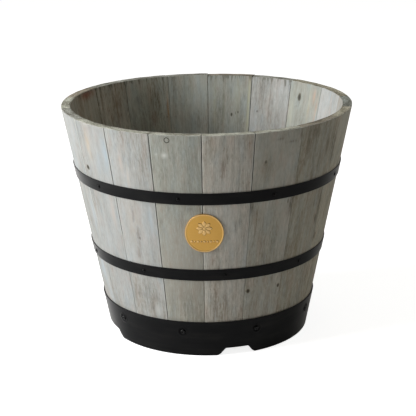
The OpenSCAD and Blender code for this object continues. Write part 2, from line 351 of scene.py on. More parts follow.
# name, size in millimetres, detail, roughness
WOOD_LAYERS = (
    ("fibres", (1.9, 11.0, 4.0), 4.0, 0.66),
    ("streaks", (5.0, 90.0, 14.0), 3.0, 0.55),
    ("clouds", (15.0, 55.0, 30.0), 4.0, 0.6),
    ("wear", (60.0, 160.0, 60.0), 2.0, 0.5),
    ("hues", (13.0, 48.0, 20.0), 3.0, 0.6),
    ("specks", (2.6, 7.0, 5.0), 2.0, 0.5),
)


def growth_rings(add, distance, spacing, wobble, strength):
    """The fraction of distance / spacing + strength * wobble: it climbs over each ring and drops at once."""
    turns = add("Math", {0: distance, 1: 1 / spacing}, operation="MULTIPLY")
    turns = add("Math", {0: wobble, 1: strength, 2: turns}, operation="MULTIPLY_ADD")
    return add("Math", {0: turns}, operation="FRACT")


def board_grain(add, grain):
    """The layers of noise along the wandering grain, and the late wood of its rings from 0 to 1."""
    wander = layered_noise(add, grain, WANDER_LAYER)["wander"]
    sideways = add("Math", {0: wander, 1: WANDER_MM, 2: -WANDER_MM / 2}, operation="MULTIPLY_ADD")
    shift = add("CombineXYZ", {"X": sideways})
    wavy = add("VectorMath", {0: grain, 1: shift}, operation="ADD")
    layer = layered_noise(add, wavy, WOOD_LAYERS)
    across = add("SeparateXYZ", {0: wavy}).outputs["X"]
    saw_tooth = growth_rings(add, across, RING_SPACING, layer["streaks"], 4.0)
    late_wood = add("MapRange", {"Value": saw_tooth, "From Min": 0.3, "From Max": 0.95},
                    interpolation_type="SMOOTHSTEP")
    return layer, late_wood


print("layers of the wood:", [row[0] for row in WOOD_LAYERS])

# %% [markdown]
# ## Wash, knots, joints and torn ends
#
# The rest of a board's look depends on the place on it, which more attributes tell. "tint" is the board's
# own colour with its share of wash as its alpha. "knot" is the offset from the nearest knot in knot radii,
# with the knot's strength as its third number. "edges" is the room to the two long edges and to the top: a
# pale line of wash dried along the outer edges, dirt sits in the joints, and a saw that comes out at the
# inner face tears fibres under the rim. Image textures could show all this too, but they would blur close up.

# %% Wash, knots, joints and torn ends
# How deep into the wood the outer face reaches, and how far from the inner face the inside starts.
OUTER_SKIN, INNER_SKIN = 2.0, 0.6


def wash_left(add, wear, coat, below_rim):
    """Share of wash from 0 to 1: the board's own share, less on worn patches and towards the foot."""
    wash = add("MapRange", {"Value": wear, "From Min": 0.32, "From Max": 0.6, "To Min": -0.35,
                            "To Max": 0.15})
    foot_wear = add("MapRange", {"Value": below_rim, "From Min": 210.0, "From Max": 330.0, "To Max": 0.3})
    wash = add("Math", {0: wash, 1: foot_wear}, operation="SUBTRACT")
    return add("Math", {0: wash, 1: coat}, operation="ADD", use_clamp=True)


def knot_marks(add, knot, fibres):
    """A knot's strength, its colour, dark within one ragged radius, and the ring round a plug.

    A plug is a knot of negative strength.
    """
    parts = add("SeparateXYZ", {0: knot})
    strength = parts.outputs["Z"]
    offset = add("CombineXYZ", {"X": parts.outputs["X"], "Y": parts.outputs["Y"]})
    away = add("VectorMath", {0: offset}, operation="LENGTH").outputs["Value"]
    ragged = add("Math", {0: fibres, 1: 0.9, 2: -0.45}, operation="MULTIPLY_ADD")
    reach = add("Math", {0: away, 1: ragged}, operation="ADD")
    core = add("ValToRGB", {"Fac": reach})
    set_ramp(core, (0.0, "#37312a"), (0.35, "#574e43"), (0.6, "#8a8073"), (0.85, "#d8d2c8"), (1.0, "#ffffff"))
    off_ring = add("Math", {0: away, 1: 1.0, 2: 0.20}, operation="COMPARE")
    plug = add("Math", {0: strength, 1: -1.0}, operation="MULTIPLY", use_clamp=True)
    ring = add("Math", {0: off_ring, 1: plug}, operation="MULTIPLY")
    return strength, core, ring


def edge_marks(add, edge, deep, is_inner, clouds):
    """The pale line of dried wash on the last 2 or 3 mm outside, and the dirt in the joint, halved inside."""
    is_outer = add("Math", {0: deep, 1: OUTER_SKIN}, operation="LESS_THAN")
    line = add("MapRange", {"Value": edge.outputs["X"], "From Min": 2.2, "From Max": 1.0, "To Max": 0.4})
    last_line = add("MapRange", {"Value": edge.outputs["Y"], "From Min": 3.0, "From Max": 1.2, "To Max": 1.1})
    line = add("Math", {0: line, 1: last_line}, operation="ADD")
    for share in (is_outer, clouds):
        line = add("Math", {0: line, 1: share}, operation="MULTIPLY")
    nearest = add("Math", {0: edge.outputs["X"], 1: edge.outputs["Y"]}, operation="MINIMUM")
    dirt = add("MapRange", {"Value": nearest, "From Min": 0.8, "From Max": 0.3, "To Max": 0.92})
    cleaner = add("Math", {0: is_inner, 1: -0.5, 2: 1.0}, operation="MULTIPLY_ADD")
    return line, add("Math", {0: dirt, 1: cleaner}, operation="MULTIPLY")


def torn_fibres(add, layer, below_rim, is_inner):
    """Fibres torn out of the inner face under the rim, to a ragged depth of up to 17 mm."""
    ragged = add("Math", {0: layer["fibres"], 1: 0.5, 2: layer["streaks"]}, operation="MULTIPLY_ADD")
    reach = add("MapRange", {"Value": ragged, "From Min": 0.62, "From Max": 1.0, "To Min": -2.0,
                             "To Max": 17.0})
    torn = add("Math", {0: reach, 1: below_rim}, operation="SUBTRACT")
    torn = add("MapRange", {"Value": torn, "From Min": 0.0, "From Max": 7.0, "To Max": 0.65})
    return add("Math", {0: torn, 1: is_inner}, operation="MULTIPLY")


# %% [markdown]
# ## The finish of the staves
#
# The finish is built in the order in which a real board gets it: bare wood, the wash, a drift of hues, the
# board's own tone, dashes and stains, knots, and last what collects at the edges. "stain_and_shade" is a
# mark's colour with its strength as its alpha: mostly stains, and a few ovals of painted shade low on the
# inside. Dry wood scatters light, so the shader is rough with a weak gloss.

# %% Material of the staves
HUE_STRENGTH = 0.75
JOINT_DIRT = linear("#2c2923")


def washed_fir():
    """Grey-washed fir: matt, dry, faintly furry wood."""
    material, add = new_material("grey_washed_fir")
    grain = add("Attribute", attribute_name="grain").outputs["Vector"]
    tint = add("Attribute", attribute_name="tint")
    stain_and_shade = add("Attribute", attribute_name="stain_and_shade")
    knot = add("Attribute", attribute_name="knot").outputs["Vector"]
    edges = add("Attribute", attribute_name="edges").outputs["Vector"]
    edge = add("SeparateXYZ", {0: edges})
    below_rim = edge.outputs["Z"]
    deep = add("SeparateXYZ", {0: grain}).outputs["Z"]
    is_inner = add("Math", {0: deep, 1: WALL - INNER_SKIN}, operation="GREATER_THAN")
    layer, late_wood = board_grain(add, grain)
    wash = wash_left(add, layer["wear"], tint.outputs["Alpha"], below_rim)
    knot_strength, knot_colour, plug_ring = knot_marks(add, knot, layer["fibres"])
    line, dirt = edge_marks(add, edge, deep, is_inner, layer["clouds"])
    torn = torn_fibres(add, layer, below_rim, is_inner)

    # Darkness of the bare board: the layers' distances from their mean, added up.
    dark = -0.38
    for value, weight in ((late_wood, 0.14), (layer["fibres"], 0.85), (layer["streaks"], 0.65),
                          (layer["clouds"], 0.42)):
        dark = add("Math", {0: value, 1: weight, 2: dark}, operation="MULTIPLY_ADD")
    bare = add("ValToRGB", {"Fac": dark})
    set_ramp(bare, (0.30, "#c4c2bc"), (0.58, "#a6a39b"), (0.78, "#8a847a"), (0.98, "#605950"))

    # The wash over it keeps a trace of the fibres and is thicker in the clouds.
    film = -0.07
    for value, weight in ((layer["clouds"], 0.45), (layer["fibres"], 0.55), (layer["streaks"], 0.25)):
        film = add("Math", {0: value, 1: weight, 2: film}, operation="MULTIPLY_ADD")
    washed = add("ValToRGB", {"Fac": film})
    set_ramp(washed, (0.30, "#c6c8c9"), (0.58, "#b5b6b4"), (0.85, "#999993"))

    # Hues drift along each board: a little rose in one place, a little blue or green in another.
    hue = add("ValToRGB", {"Fac": layer["hues"]})
    set_ramp(hue, (0.34, "#f5fbff"), (0.45, "#fcfdfb"), (0.56, "#fffcf8"), (0.68, "#fff3ec"))

    # Short dark dashes, where a saw or a splinter caught the surface, mostly on bare wood.
    bareness = add("Math", {0: 1.0, 1: wash}, operation="SUBTRACT")
    dashes = add("MapRange", {"Value": layer["specks"], "From Min": 0.63, "From Max": 0.72, "To Max": 0.55})
    dashes = add("Math", {0: dashes, 1: bareness}, operation="MULTIPLY")

    # Marks of resin, rust and wash, and a few ovals of painted shade, broken up by the fibres.
    patchy = add("MapRange", {"Value": layer["fibres"], "From Min": 0.3, "From Max": 0.6, "To Min": 0.5,
                              "To Max": 1.15})
    mark = add("Math", {0: stain_and_shade.outputs["Alpha"], 1: patchy}, operation="MULTIPLY", use_clamp=True)

    # Each coat over the ones before it: how much it covers, its colour, and how it blends.
    colour = bare
    for cover, paint, blend in ((wash, washed, "MIX"),
                                (HUE_STRENGTH, hue, "MULTIPLY"),
                                (1.0, tint.outputs["Color"], "MULTIPLY"),
                                (dashes, linear("#5b5449"), "MIX"),
                                (mark, stain_and_shade.outputs["Color"], "MIX"),
                                (knot_strength, knot_colour, "MULTIPLY"),
                                (plug_ring, linear("#55524a"), "MIX"),
                                (line, linear("#cecfc9"), "MIX"),
                                (dirt, JOINT_DIRT, "MIX"),
                                (torn, linear("#66655a"), "MIX")):
        colour = add("Mix", {"Factor": cover, 6: colour, 7: paint}, data_type="RGBA",
                     blend_type=blend).outputs[2]

    # The late wood stands about a tenth of a millimetre proud, and fibres make fine ridges.
    relief = add("Math", {0: late_wood, 1: 0.35, 2: layer["fibres"]}, operation="MULTIPLY_ADD")
    bump = add("Bump", {"Height": relief, "Strength": 0.55, "Distance": 0.2 * MM})
    rough = add("MapRange", {"Value": layer["fibres"], "To Min": 0.7, "To Max": 0.92})
    shader = add("BsdfPrincipled", {"Base Color": colour, "Roughness": rough, "Normal": bump, "IOR": 1.5,
                                    "Specular IOR Level": 0.25})
    add("OutputMaterial", {"Surface": shader})
    return material


washed_fir_material = washed_fir()
print("nodes in the washed fir:", len(washed_fir_material.node_tree.nodes))

# %% [markdown]
# ## End grain
#
# The rim shows the ends of the staves, where the rings are short arcs round a heart that lies well outside
# the board. Sawn ends drink the wash unevenly and stay grey and rough. The rings come from the distance to
# that heart in the plane of the cut, so they use the same "grain" attribute, across and into the board.

# %% Material of the stave ends
END_RING_SPACING = 2.6
HEART_PLACE = (8.0, 0.0, 60.0)
# name, size in millimetres, detail, roughness
END_LAYERS = (
    ("fuzz", (5.0, 9.0, 1.8), 4.0, 0.7),
    ("wobble", (9.0, 50.0, 9.0), 3.0, 0.5),
    ("patches", (26.0, 50.0, 12.0), 2.0, 0.5),
)


def end_grain():
    """Sawn fir end: arcs of growth rings, saw fuzz and patchy wash."""
    material, add = new_material("grey_washed_fir_end_grain")
    grain = add("Attribute", attribute_name="grain").outputs["Vector"]
    tint = add("Attribute", attribute_name="end_tint")
    edges = add("Attribute", attribute_name="edges").outputs["Vector"]
    layer = layered_noise(add, grain, END_LAYERS)
    plane = add("VectorMath", {0: grain, 1: (1.0, 0.0, 1.0)}, operation="MULTIPLY")
    away = add("VectorMath", {0: plane, 1: HEART_PLACE}, operation="DISTANCE").outputs["Value"]
    ring = growth_rings(add, away, END_RING_SPACING, layer["wobble"], 1.6)
    shade = -0.15
    for value, weight in ((layer["fuzz"], 0.8), (ring, 0.16), (layer["patches"], 0.6)):
        shade = add("Math", {0: value, 1: weight, 2: shade}, operation="MULTIPLY_ADD")
    mixed = add("ValToRGB", {"Fac": shade})
    set_ramp(mixed, (0.40, "#d2d3cb"), (0.60, "#a6a59a"), (0.78, "#69655a"))

    # The cut is darker towards its inner corner and paler towards its outer edge, both to a ragged depth.
    deep = add("SeparateXYZ", {0: grain}).outputs["Z"]
    ragged = add("Math", {0: layer["fuzz"], 1: 9.0, 2: deep}, operation="MULTIPLY_ADD")
    inner_shade = add("MapRange", {"Value": ragged, "From Min": 16.0, "From Max": 20.5})
    inner_shade = add("Math", {0: inner_shade, 1: tint.outputs["Alpha"]}, operation="MULTIPLY")
    outer_line = add("MapRange", {"Value": ragged, "From Min": 7.0, "From Max": 4.5, "To Max": 0.6})
    edge = add("SeparateXYZ", {0: edges})
    nearest = add("Math", {0: edge.outputs["X"], 1: edge.outputs["Y"]}, operation="MINIMUM")
    dirt = add("MapRange", {"Value": nearest, "From Min": 0.8, "From Max": 0.1, "To Max": 0.8})
    colour = mixed
    for cover, paint, blend in ((1.0, tint.outputs["Color"], "MULTIPLY"),
                                (inner_shade, linear("#5c584d"), "MIX"),
                                (outer_line, linear("#d0d0ca"), "MIX"),
                                (dirt, JOINT_DIRT, "MIX")):
        colour = add("Mix", {"Factor": cover, 6: colour, 7: paint}, data_type="RGBA",
                     blend_type=blend).outputs[2]
    bump = add("Bump", {"Height": shade, "Strength": 0.8, "Distance": 0.4 * MM})
    shader = add("BsdfPrincipled", {"Base Color": colour, "Roughness": 0.88, "Normal": bump, "IOR": 1.5,
                                    "Specular IOR Level": 0.2})
    add("OutputMaterial", {"Surface": shader})
    return material


end_grain_material = end_grain()
print("nodes in the end grain:", len(end_grain_material.node_tree.nodes))

# %% [markdown]
# ## Bare fir
#
# The floor slats and battens are the same timber straight from the saw. Without a wash the fir is honey
# coloured with clear rings, greyed a little by damp. The same "grain" attribute carries it.

# %% Material of the slats and battens
# name, size in millimetres, detail, roughness
BARE_LAYERS = (
    ("fibres", (2.0, 70.0, 3.0), 4.0, 0.5),
    ("streaks", (11.0, 260.0, 14.0), 3.0, 0.5),
    ("saw", (40.0, 1.8, 40.0), 2.0, 0.5),
    ("damp", (60.0, 90.0, 40.0), 3.0, 0.5),
)


def bare_fir():
    """Rough-sawn fir without wash: warm, with rings and saw marks across the grain."""
    material, add = new_material("rough_sawn_fir")
    grain = add("Attribute", attribute_name="grain").outputs["Vector"]
    layer = layered_noise(add, grain, BARE_LAYERS)
    across = add("SeparateXYZ", {0: grain}).outputs["X"]
    ring = growth_rings(add, across, RING_SPACING, layer["streaks"], 5.0)
    shade = -0.05
    for value, weight in ((layer["fibres"], 0.6), (ring, 0.3), (layer["damp"], 0.5)):
        shade = add("Math", {0: value, 1: weight, 2: shade}, operation="MULTIPLY_ADD")
    mixed = add("ValToRGB", {"Fac": shade})
    set_ramp(mixed, (0.35, "#c3ad88"), (0.65, "#a68f6d"), (0.95, "#7b684e"))
    relief = add("Math", {0: layer["saw"], 1: 0.6, 2: layer["fibres"]}, operation="MULTIPLY_ADD")
    bump = add("Bump", {"Height": relief, "Strength": 0.7, "Distance": 0.3 * MM})
    shader = add("BsdfPrincipled", {"Base Color": mixed, "Roughness": 0.85, "Normal": bump, "IOR": 1.5,
                                    "Specular IOR Level": 0.25})
    add("OutputMaterial", {"Surface": shader})
    return material


bare_fir_material = bare_fir()

# %% [markdown]
# ## Black steel
#
# The hoops and the band are mild steel strip, rolled and then powder-coated black. A coating is a plastic
# film, so the shader isn't metallic. It is satin, and rolling leaves faint streaks along the strip, which
# need the attribute "along", the distance along and across the strip in millimetres. Its fine orange peel
# is in the bump. Towards grazing angles the colour is mixed to grey, a painted sheen that brightens the
# tub's sides. Under and round the heads the faces get painted shade instead: no sheen, and a colour that
# turns darker towards grazing angles, so those rings stay dark where the strip around them brightens.

# %% Material of the strips
# name, size in millimetres, detail, roughness
STEEL_LAYERS = (
    ("rolling", (120.0, 1.6, 3.0), 4.0, 0.5),
    ("peel", (2.2, 2.2, 2.2), 3.0, 0.5),
    ("dust", (60.0, 14.0, 20.0), 4.0, 0.5),
    ("chips", (4.0, 3.0, 4.0), 3.0, 0.5),
)
PAINTED_LIGHT_FROM, PAINTED_LIGHT_POWER = 0.5, 2.3


def black_steel(name, specular, sheen, painted_light_colour):
    """Powder-coated steel strip: near black, satin, with rolling streaks, dust and rubbed edges."""
    material, add = new_material(name)
    along = add("Attribute", attribute_name="along").outputs["Vector"]
    layer = layered_noise(add, along, STEEL_LAYERS)
    shade = add("Math", {0: layer["rolling"], 1: 0.5, 2: layer["dust"]}, operation="MULTIPLY_ADD")
    mixed = add("ValToRGB", {"Fac": shade})
    set_ramp(mixed, (0.45, "#0b0b0c"), (0.75, "#111112"), (1.0, "#1c1b1a"))
    chipped = add("MapRange", {"Value": layer["chips"], "From Min": 0.70, "From Max": 0.76, "To Max": 0.35})
    # Painted light: towards grazing angles the colour is mixed to the last argument's colour. On the strips
    # this is a grey painted sheen, and in the dishes and round the nails a darker painted shade.
    facing = add("LayerWeight", {"Blend": 0.5}).outputs["Facing"]
    grazing = add("MapRange", {"Value": facing, "From Min": PAINTED_LIGHT_FROM, "From Max": 1.0})
    grazing = add("Math", {0: grazing, 1: PAINTED_LIGHT_POWER}, operation="POWER")
    colour = mixed
    for cover, paint in ((chipped, linear("#3a322c")), (grazing, linear(painted_light_colour))):
        colour = add("Mix", {"Factor": cover, 6: colour, 7: paint}, data_type="RGBA").outputs[2]
    rough = add("MapRange", {"Value": layer["rolling"], "From Min": 0.3, "From Max": 0.7, "To Min": 0.42,
                             "To Max": 0.56})
    relief = add("Math", {0: layer["rolling"], 1: 0.6, 2: layer["peel"]}, operation="MULTIPLY_ADD")
    bump = add("Bump", {"Height": relief, "Strength": 0.6, "Distance": 0.1 * MM})
    shader = add("BsdfPrincipled", {"Base Color": colour, "Roughness": rough, "Normal": bump, "IOR": 1.5,
                                    "Specular IOR Level": specular, "Sheen Weight": sheen,
                                    "Sheen Roughness": 0.3})
    add("OutputMaterial", {"Surface": shader})
    return material


black_steel_material = black_steel("powder_coated_steel", 0.115, 0.13, "#93918f")
# Painted shade for the faces in the dishes and round the nails: no sheen, and darker towards grazing angles.
recess_painted_shade_material = black_steel("steel_recess_painted_shade", 0.085, 0.0, "#030303")
print("nodes in the black steel:", len(black_steel_material.node_tree.nodes))

# %% [markdown]
# ## Blackened and plated steel
#
# The band screws have a thin, shiny oil black, the nails a sooty one from the forge, and the floor screws
# are zinc plate. Only the zinc shows bare metal, while the two blacks are films over the steel. The parts
# are small, so fine pits and a few handling marks are enough, and these read the object's own coordinates.

# %% Materials of the nails and screws
def fastener_steel(name, low, high, metallic, roughness, specular):
    """Plated or blackened steel of small turned parts, with fine pits and handling marks."""
    material, add = new_material(name)
    place = add("TexCoord").outputs["Object"]
    pits = add("TexNoise", {"Vector": place, "Scale": 1 / (0.9 * MM), "Detail": 3.0})
    marks = add("TexNoise", {"Vector": place, "Scale": 1 / (4.0 * MM), "Detail": 2.0})
    mixed = add("ValToRGB", {"Fac": marks})
    set_ramp(mixed, (0.35, low), (0.65, high))
    rough = add("MapRange", {"Value": marks, "From Min": 0.3, "From Max": 0.7, "To Min": roughness - 0.06,
                             "To Max": roughness + 0.08})
    bump = add("Bump", {"Height": pits, "Strength": 0.3, "Distance": 0.05 * MM})
    shader = add("BsdfPrincipled", {"Base Color": mixed, "Roughness": rough, "Normal": bump,
                                    "Metallic": metallic, "Specular IOR Level": specular})
    add("OutputMaterial", {"Surface": shader})
    return material


oiled_material = fastener_steel("oil_blackened_steel", "#050505", "#0e0e0d", 0.0, 0.24, 0.32)
sooty_material = fastener_steel("heat_blackened_iron", "#070707", "#0c0c0b", 0.0, 0.42, 0.12)
zinc_material = fastener_steel("zinc_plated_steel", "#a9adb2", "#c6c9cc", 1.0, 0.34, 0.5)
print("nodes in each of them:", len(zinc_material.node_tree.nodes))

# %% [markdown]
# ## Brass
#
# The plaque is rolled brass, stamped and lacquered: gold, with brown tarnish left where the pattern is steep
# and a cloth can't reach. Its attribute "relief" holds the height, from 0 to 1, and the steepness.

# %% Material of the plaque
# name, size in millimetres, detail, roughness
BRASS_LAYERS = (
    ("graining", (5.0, 0.9, 2.0), 4.0, 0.5),
    ("blooms", (9.0, 9.0, 9.0), 3.0, 0.5),
    ("casting", (0.8, 0.8, 0.8), 3.0, 0.5),
)


def stamped_brass():
    """Rolled and stamped brass under satin lacquer: gold, with fine graining and brown in the low parts."""
    material, add = new_material("stamped_brass")
    along = add("Attribute", attribute_name="along").outputs["Vector"]
    relief = add("Attribute", attribute_name="relief").outputs["Vector"]
    height = add("SeparateXYZ", {0: relief}).outputs["X"]
    steep = add("SeparateXYZ", {0: relief}).outputs["Y"]
    layer = layered_noise(add, along, BRASS_LAYERS)
    shade = add("Math", {0: layer["blooms"], 1: 0.5, 2: -0.25}, operation="MULTIPLY_ADD")
    shade = add("Math", {0: height, 1: shade}, operation="ADD")
    mixed = add("ValToRGB", {"Fac": shade})
    set_ramp(mixed, (0.0, "#e4b360"), (0.35, "#e6b665"), (0.7, "#edc075"), (1.0, "#f6cd8a"))
    tarnish = add("MapRange", {"Value": steep, "From Min": 0.45, "From Max": 1.2, "To Max": 0.9})
    tarnished = add("Mix", {"Factor": tarnish, 6: mixed, 7: linear("#7a4f24")}, data_type="RGBA").outputs[2]
    rough = add("MapRange", {"Value": layer["graining"], "From Min": 0.3, "From Max": 0.7, "To Min": 0.38,
                             "To Max": 0.52})
    grit = add("Math", {0: layer["graining"], 1: 0.6, 2: layer["casting"]}, operation="MULTIPLY_ADD")
    bump = add("Bump", {"Height": grit, "Strength": 0.6, "Distance": 0.12 * MM})
    shader = add("BsdfPrincipled", {"Base Color": tarnished, "Metallic": 1.0, "Roughness": rough,
                                    "Normal": bump})
    add("OutputMaterial", {"Surface": shader})
    return material


brass_material = stamped_brass()
print("materials:", len(bpy.data.materials))

# %% [markdown]
# ## Boards are not alike
#
# A cooper takes boards as they come. Each face of a stave gets a tone, a share of wash and a shade, which is
# how light the board is. The joints differ too: some are tight and some show a dark line, mostly near the
# rim. The lists go round from the first stave right of the front joint.

# %% Tones, joints and tops of the staves
TONES = {"grey": "#ffffff", "green": "#fbfdf6", "rose": "#fffbf6", "brown": "#fffbf2", "olive": "#fffaed",
         "umber": "#fff8e8"}
# tone, share of wash, shade
OUTSIDES = [
    ("rose", 0.58, 1.18), ("brown", 0.70, 0.985), ("olive", 0.50, 0.88), ("olive", 0.50, 1.08),
    ("rose", 0.60, 0.97), ("green", 0.70, 0.98), ("grey", 0.60, 0.95), ("rose", 0.65, 0.98),
    ("grey", 0.70, 0.90), ("green", 0.65, 0.97), ("grey", 0.60, 1.00), ("rose", 0.65, 0.93),
    ("grey", 0.70, 0.98), ("green", 0.70, 0.90), ("grey", 0.92, 0.825), ("grey", 0.88, 0.805),
    ("grey", 0.78, 0.89), ("green", 0.60, 0.84)]
INSIDES = [
    ("grey", 0.70, 0.95), ("green", 0.65, 0.98), ("grey", 0.70, 0.92), ("rose", 0.65, 0.97),
    ("rose", 0.60, 0.97), ("grey", 0.78, 1.06), ("green", 0.72, 0.95), ("grey", 0.70, 0.96),
    ("green", 0.72, 0.81), ("green", 0.70, 1.00), ("green", 0.45, 1.06), ("brown", 0.45, 1.03),
    ("umber", 0.46, 0.85), ("olive", 0.50, 0.86), ("grey", 0.70, 0.88), ("green", 0.65, 0.92),
    ("grey", 0.60, 0.95), ("green", 0.60, 0.90)]
# Width of the dark gap after each stave in millimetres, at the rim and at the foot.
JOINT_GAPS = [(0.45, 0.18), (0.05, 0.02), (0.05, 0.02), (0.25, 0.10), (0.25, 0.10), (0.20, 0.07),
              (0.45, 0.16), (0.40, 0.14), (0.50, 0.18), (0.35, 0.12), (0.30, 0.10), (0.35, 0.12),
              (0.25, 0.10), (0.25, 0.10), (0.75, 0.05), (0.90, 0.15), (1.15, 0.40), (0.95, 0.05)]
# Staves whose top tore on the inside when it was sawn.
TORN_STAVES = (8, 9, 11, 12, 13)
# How far each stave's top lies below the rim at its first and last edge, in millimetres.
TOP_DROPS = [(0.3, 0.2), (0.2, 0.6), (0.5, 0.1), (0.3, 0.4), (0.2, 0.4), (0.2, 0.1), (0.4, 0.1),
             (0.3, 0.8), (0.0, 1.3), (0.2, 0.5), (0.3, 0.0), (0.1, 0.0), (0.2, 0.0), (0.0, 0.3),
             (0.3, 0.2), (0.3, 0.8), (0.5, 0.9), (0.7, 0.2)]
# The sawn end of each stave drank the wash in its own way: a colour, a shade and how dark its inner corner
# gets.
END_TONES = {"pale": ("#fffffa", 1.42, 0.5), "grey": ("#ffffff", 1.05, 0.2), "blue": ("#f6fcff", 1.08, 0.4),
             "brown": ("#fff8ea", 1.20, 0.3), "dark": ("#fff3e8", 0.84, 0.7), "rose": ("#fff2e6", 0.95, 0.6)}
END_TONE = ["pale", "pale", "dark", "brown", "blue", "brown", "brown", "grey", "rose",
            "grey", "grey", "grey", "rose", "pale", "grey", "pale", "pale", "pale"]
print("outsides of each tone:", {tone: [b[0] for b in OUTSIDES].count(tone) for tone in TONES})

# %% [markdown]
# ## Knots and stains
#
# A knot is where a branch ran through the board. The grain flows round it like water round a stone. That
# flow is made by squeezing the "grain" coordinates towards the knot's middle: a line of grain that would
# cross the knot is pushed aside. A strength of -1 is a plug, a round dowel set in where a knot fell out,
# which shows as a thin ring. Stains are soft ovals of colour, and three dark ovals low on the inside are
# painted shade. All are placed by azimuth and height on the outer or the inner face, at a real size.

# %% Where the knots and stains are
# azimuth in degrees, height, half width and half height in mm, strength
OUTER_KNOTS = [
    (-14.6, 375.0, 3.8, 4.0, -1.0),
    (-56.8, 305.5, 5.0, 4.8, 0.95),
    (-31.2, 203.8, 2.0, 3.2, 0.45),
    (19.5, 114.1, 3.8, 4.8, 0.90),
    (36.4, 114.1, 3.0, 4.2, 0.85),
    (22.7, 334.8, 2.4, 3.6, 0.60),
    (35.2, 262.8, 1.9, 5.5, 0.50),
    (96.0, 240.0, 3.2, 6.5, 0.85),
    (138.0, 190.0, 3.0, 5.0, 0.80),
    (168.0, 330.0, 3.6, 7.0, 0.90),
    (214.0, 215.0, 2.6, 4.5, 0.75),
    (247.0, 110.0, 3.0, 5.5, 0.80),
]
INNER_KNOTS = [
    (131.5, 357.0, 4.8, 8.5, 0.85),
    (167.6, 313.7, 2.2, 3.8, 0.80),
    (164.4, 317.8, 1.7, 2.6, 0.60),
    (154.6, 322.0, 1.7, 2.6, 0.60),
    (30.0, 250.0, 3.6, 8.0, 0.85),
    (-60.0, 180.0, 3.0, 6.0, 0.80),
]
# azimuth in degrees, height, half width and half height in mm, colour, strength
OUTER_STAINS = [
    (-16.0, 350.0, 4.4, 3.6, "#e0e0da", 0.65),
    (-19.1, 351.0, 1.8, 2.4, "#d8d8d2", 0.45),
    (-2.9, 350.0, 1.0, 16.0, "#d8d8d2", 0.60),
    (-52.8, 346.0, 6.0, 26.0, "#cdb9a0", 0.45),
    (-42.5, 338.0, 6.5, 24.0, "#a9c0cf", 0.40),
    (-62.5, 215.0, 5.0, 34.0, "#b3c6d2", 0.35),
    (-44.5, 238.0, 4.0, 24.0, "#d6bdab", 0.30),
    (-35.2, 332.0, 3.0, 18.0, "#d6bdab", 0.40),
    (-32.7, 305.0, 2.6, 18.0, "#cfc0b0", 0.35),
    (-24.5, 240.0, 3.0, 34.0, "#b4c4ce", 0.35),
    (-66.0, 120.0, 8.0, 26.0, "#b7c6d2", 0.35),
    (-11.0, 158.0, 70.0, 92.0, "#a79f93", 0.50),
    (-33.6, 232.0, 10.0, 40.0, "#b2a391", 0.42),
    (-33.1, 240.0, 3.0, 26.0, "#857a72", 0.54),
    (-31.8, 208.0, 4.0, 20.0, "#7d736b", 0.60),
    (-33.0, 176.0, 2.6, 10.0, "#7d736b", 0.56),
    (45.0, 371.0, 10.8, 12.0, "#5a5143", 0.52),
    (37.5, 374.0, 2.6, 8.0, "#4f473b", 0.70),
    (33.5, 363.0, 7.0, 2.2, "#5d5548", 0.55),
    (28.0, 370.0, 7.0, 2.0, "#645b4e", 0.45),
    (41.8, 352.0, 2.9, 22.0, "#645b4c", 0.65),
    (15.8, 368.0, 2.6, 12.0, "#9c7558", 0.40),
    (2.0, 372.0, 3.0, 10.0, "#a08468", 0.30),
    (6.0, 328.0, 3.0, 18.0, "#655d54", 0.56),
    (24.0, 330.0, 10.0, 26.0, "#7f7458", 0.25),
    (50.0, 318.0, 3.0, 30.0, "#4f473b", 0.42),
    (54.2, 343.0, 4.1, 24.0, "#4f473b", 0.55),
    (60.5, 330.0, 3.6, 34.0, "#544b3f", 0.72),
    (47.0, 290.0, 3.1, 22.0, "#625a50", 0.58),
    (13.5, 240.0, 1.3, 8.0, "#544c42", 0.75),
    (11.7, 230.0, 1.3, 10.0, "#544c42", 0.56),
    (18.2, 262.0, 3.0, 14.0, "#4d463c", 0.75),
    (36.9, 258.0, 3.4, 18.0, "#4a4337", 0.70),
    (57.6, 236.0, 2.6, 34.0, "#544c40", 0.80),
    (56.2, 214.8, 2.6, 7.0, "#3d372e", 0.87),
    (59.0, 182.0, 3.4, 7.0, "#38322a", 0.95),
    (30.0, 195.0, 6.0, 30.0, "#7c8478", 0.30),
    (44.3, 170.0, 4.0, 40.0, "#8a8066", 0.35),
    (9.6, 160.0, 4.0, 26.0, "#8a8178", 0.30),
    (-38.5, 88.0, 3.0, 26.0, "#85776a", 0.45),
    (-12.1, 88.0, 3.0, 22.0, "#85776a", 0.40),
    (3.6, 92.0, 4.0, 20.0, "#756a5f", 0.56),
    (8.5, 100.0, 2.4, 26.0, "#756a5f", 0.50),
    (-26.5, 78.0, 6.0, 12.0, "#d3d4d0", 0.45),
]
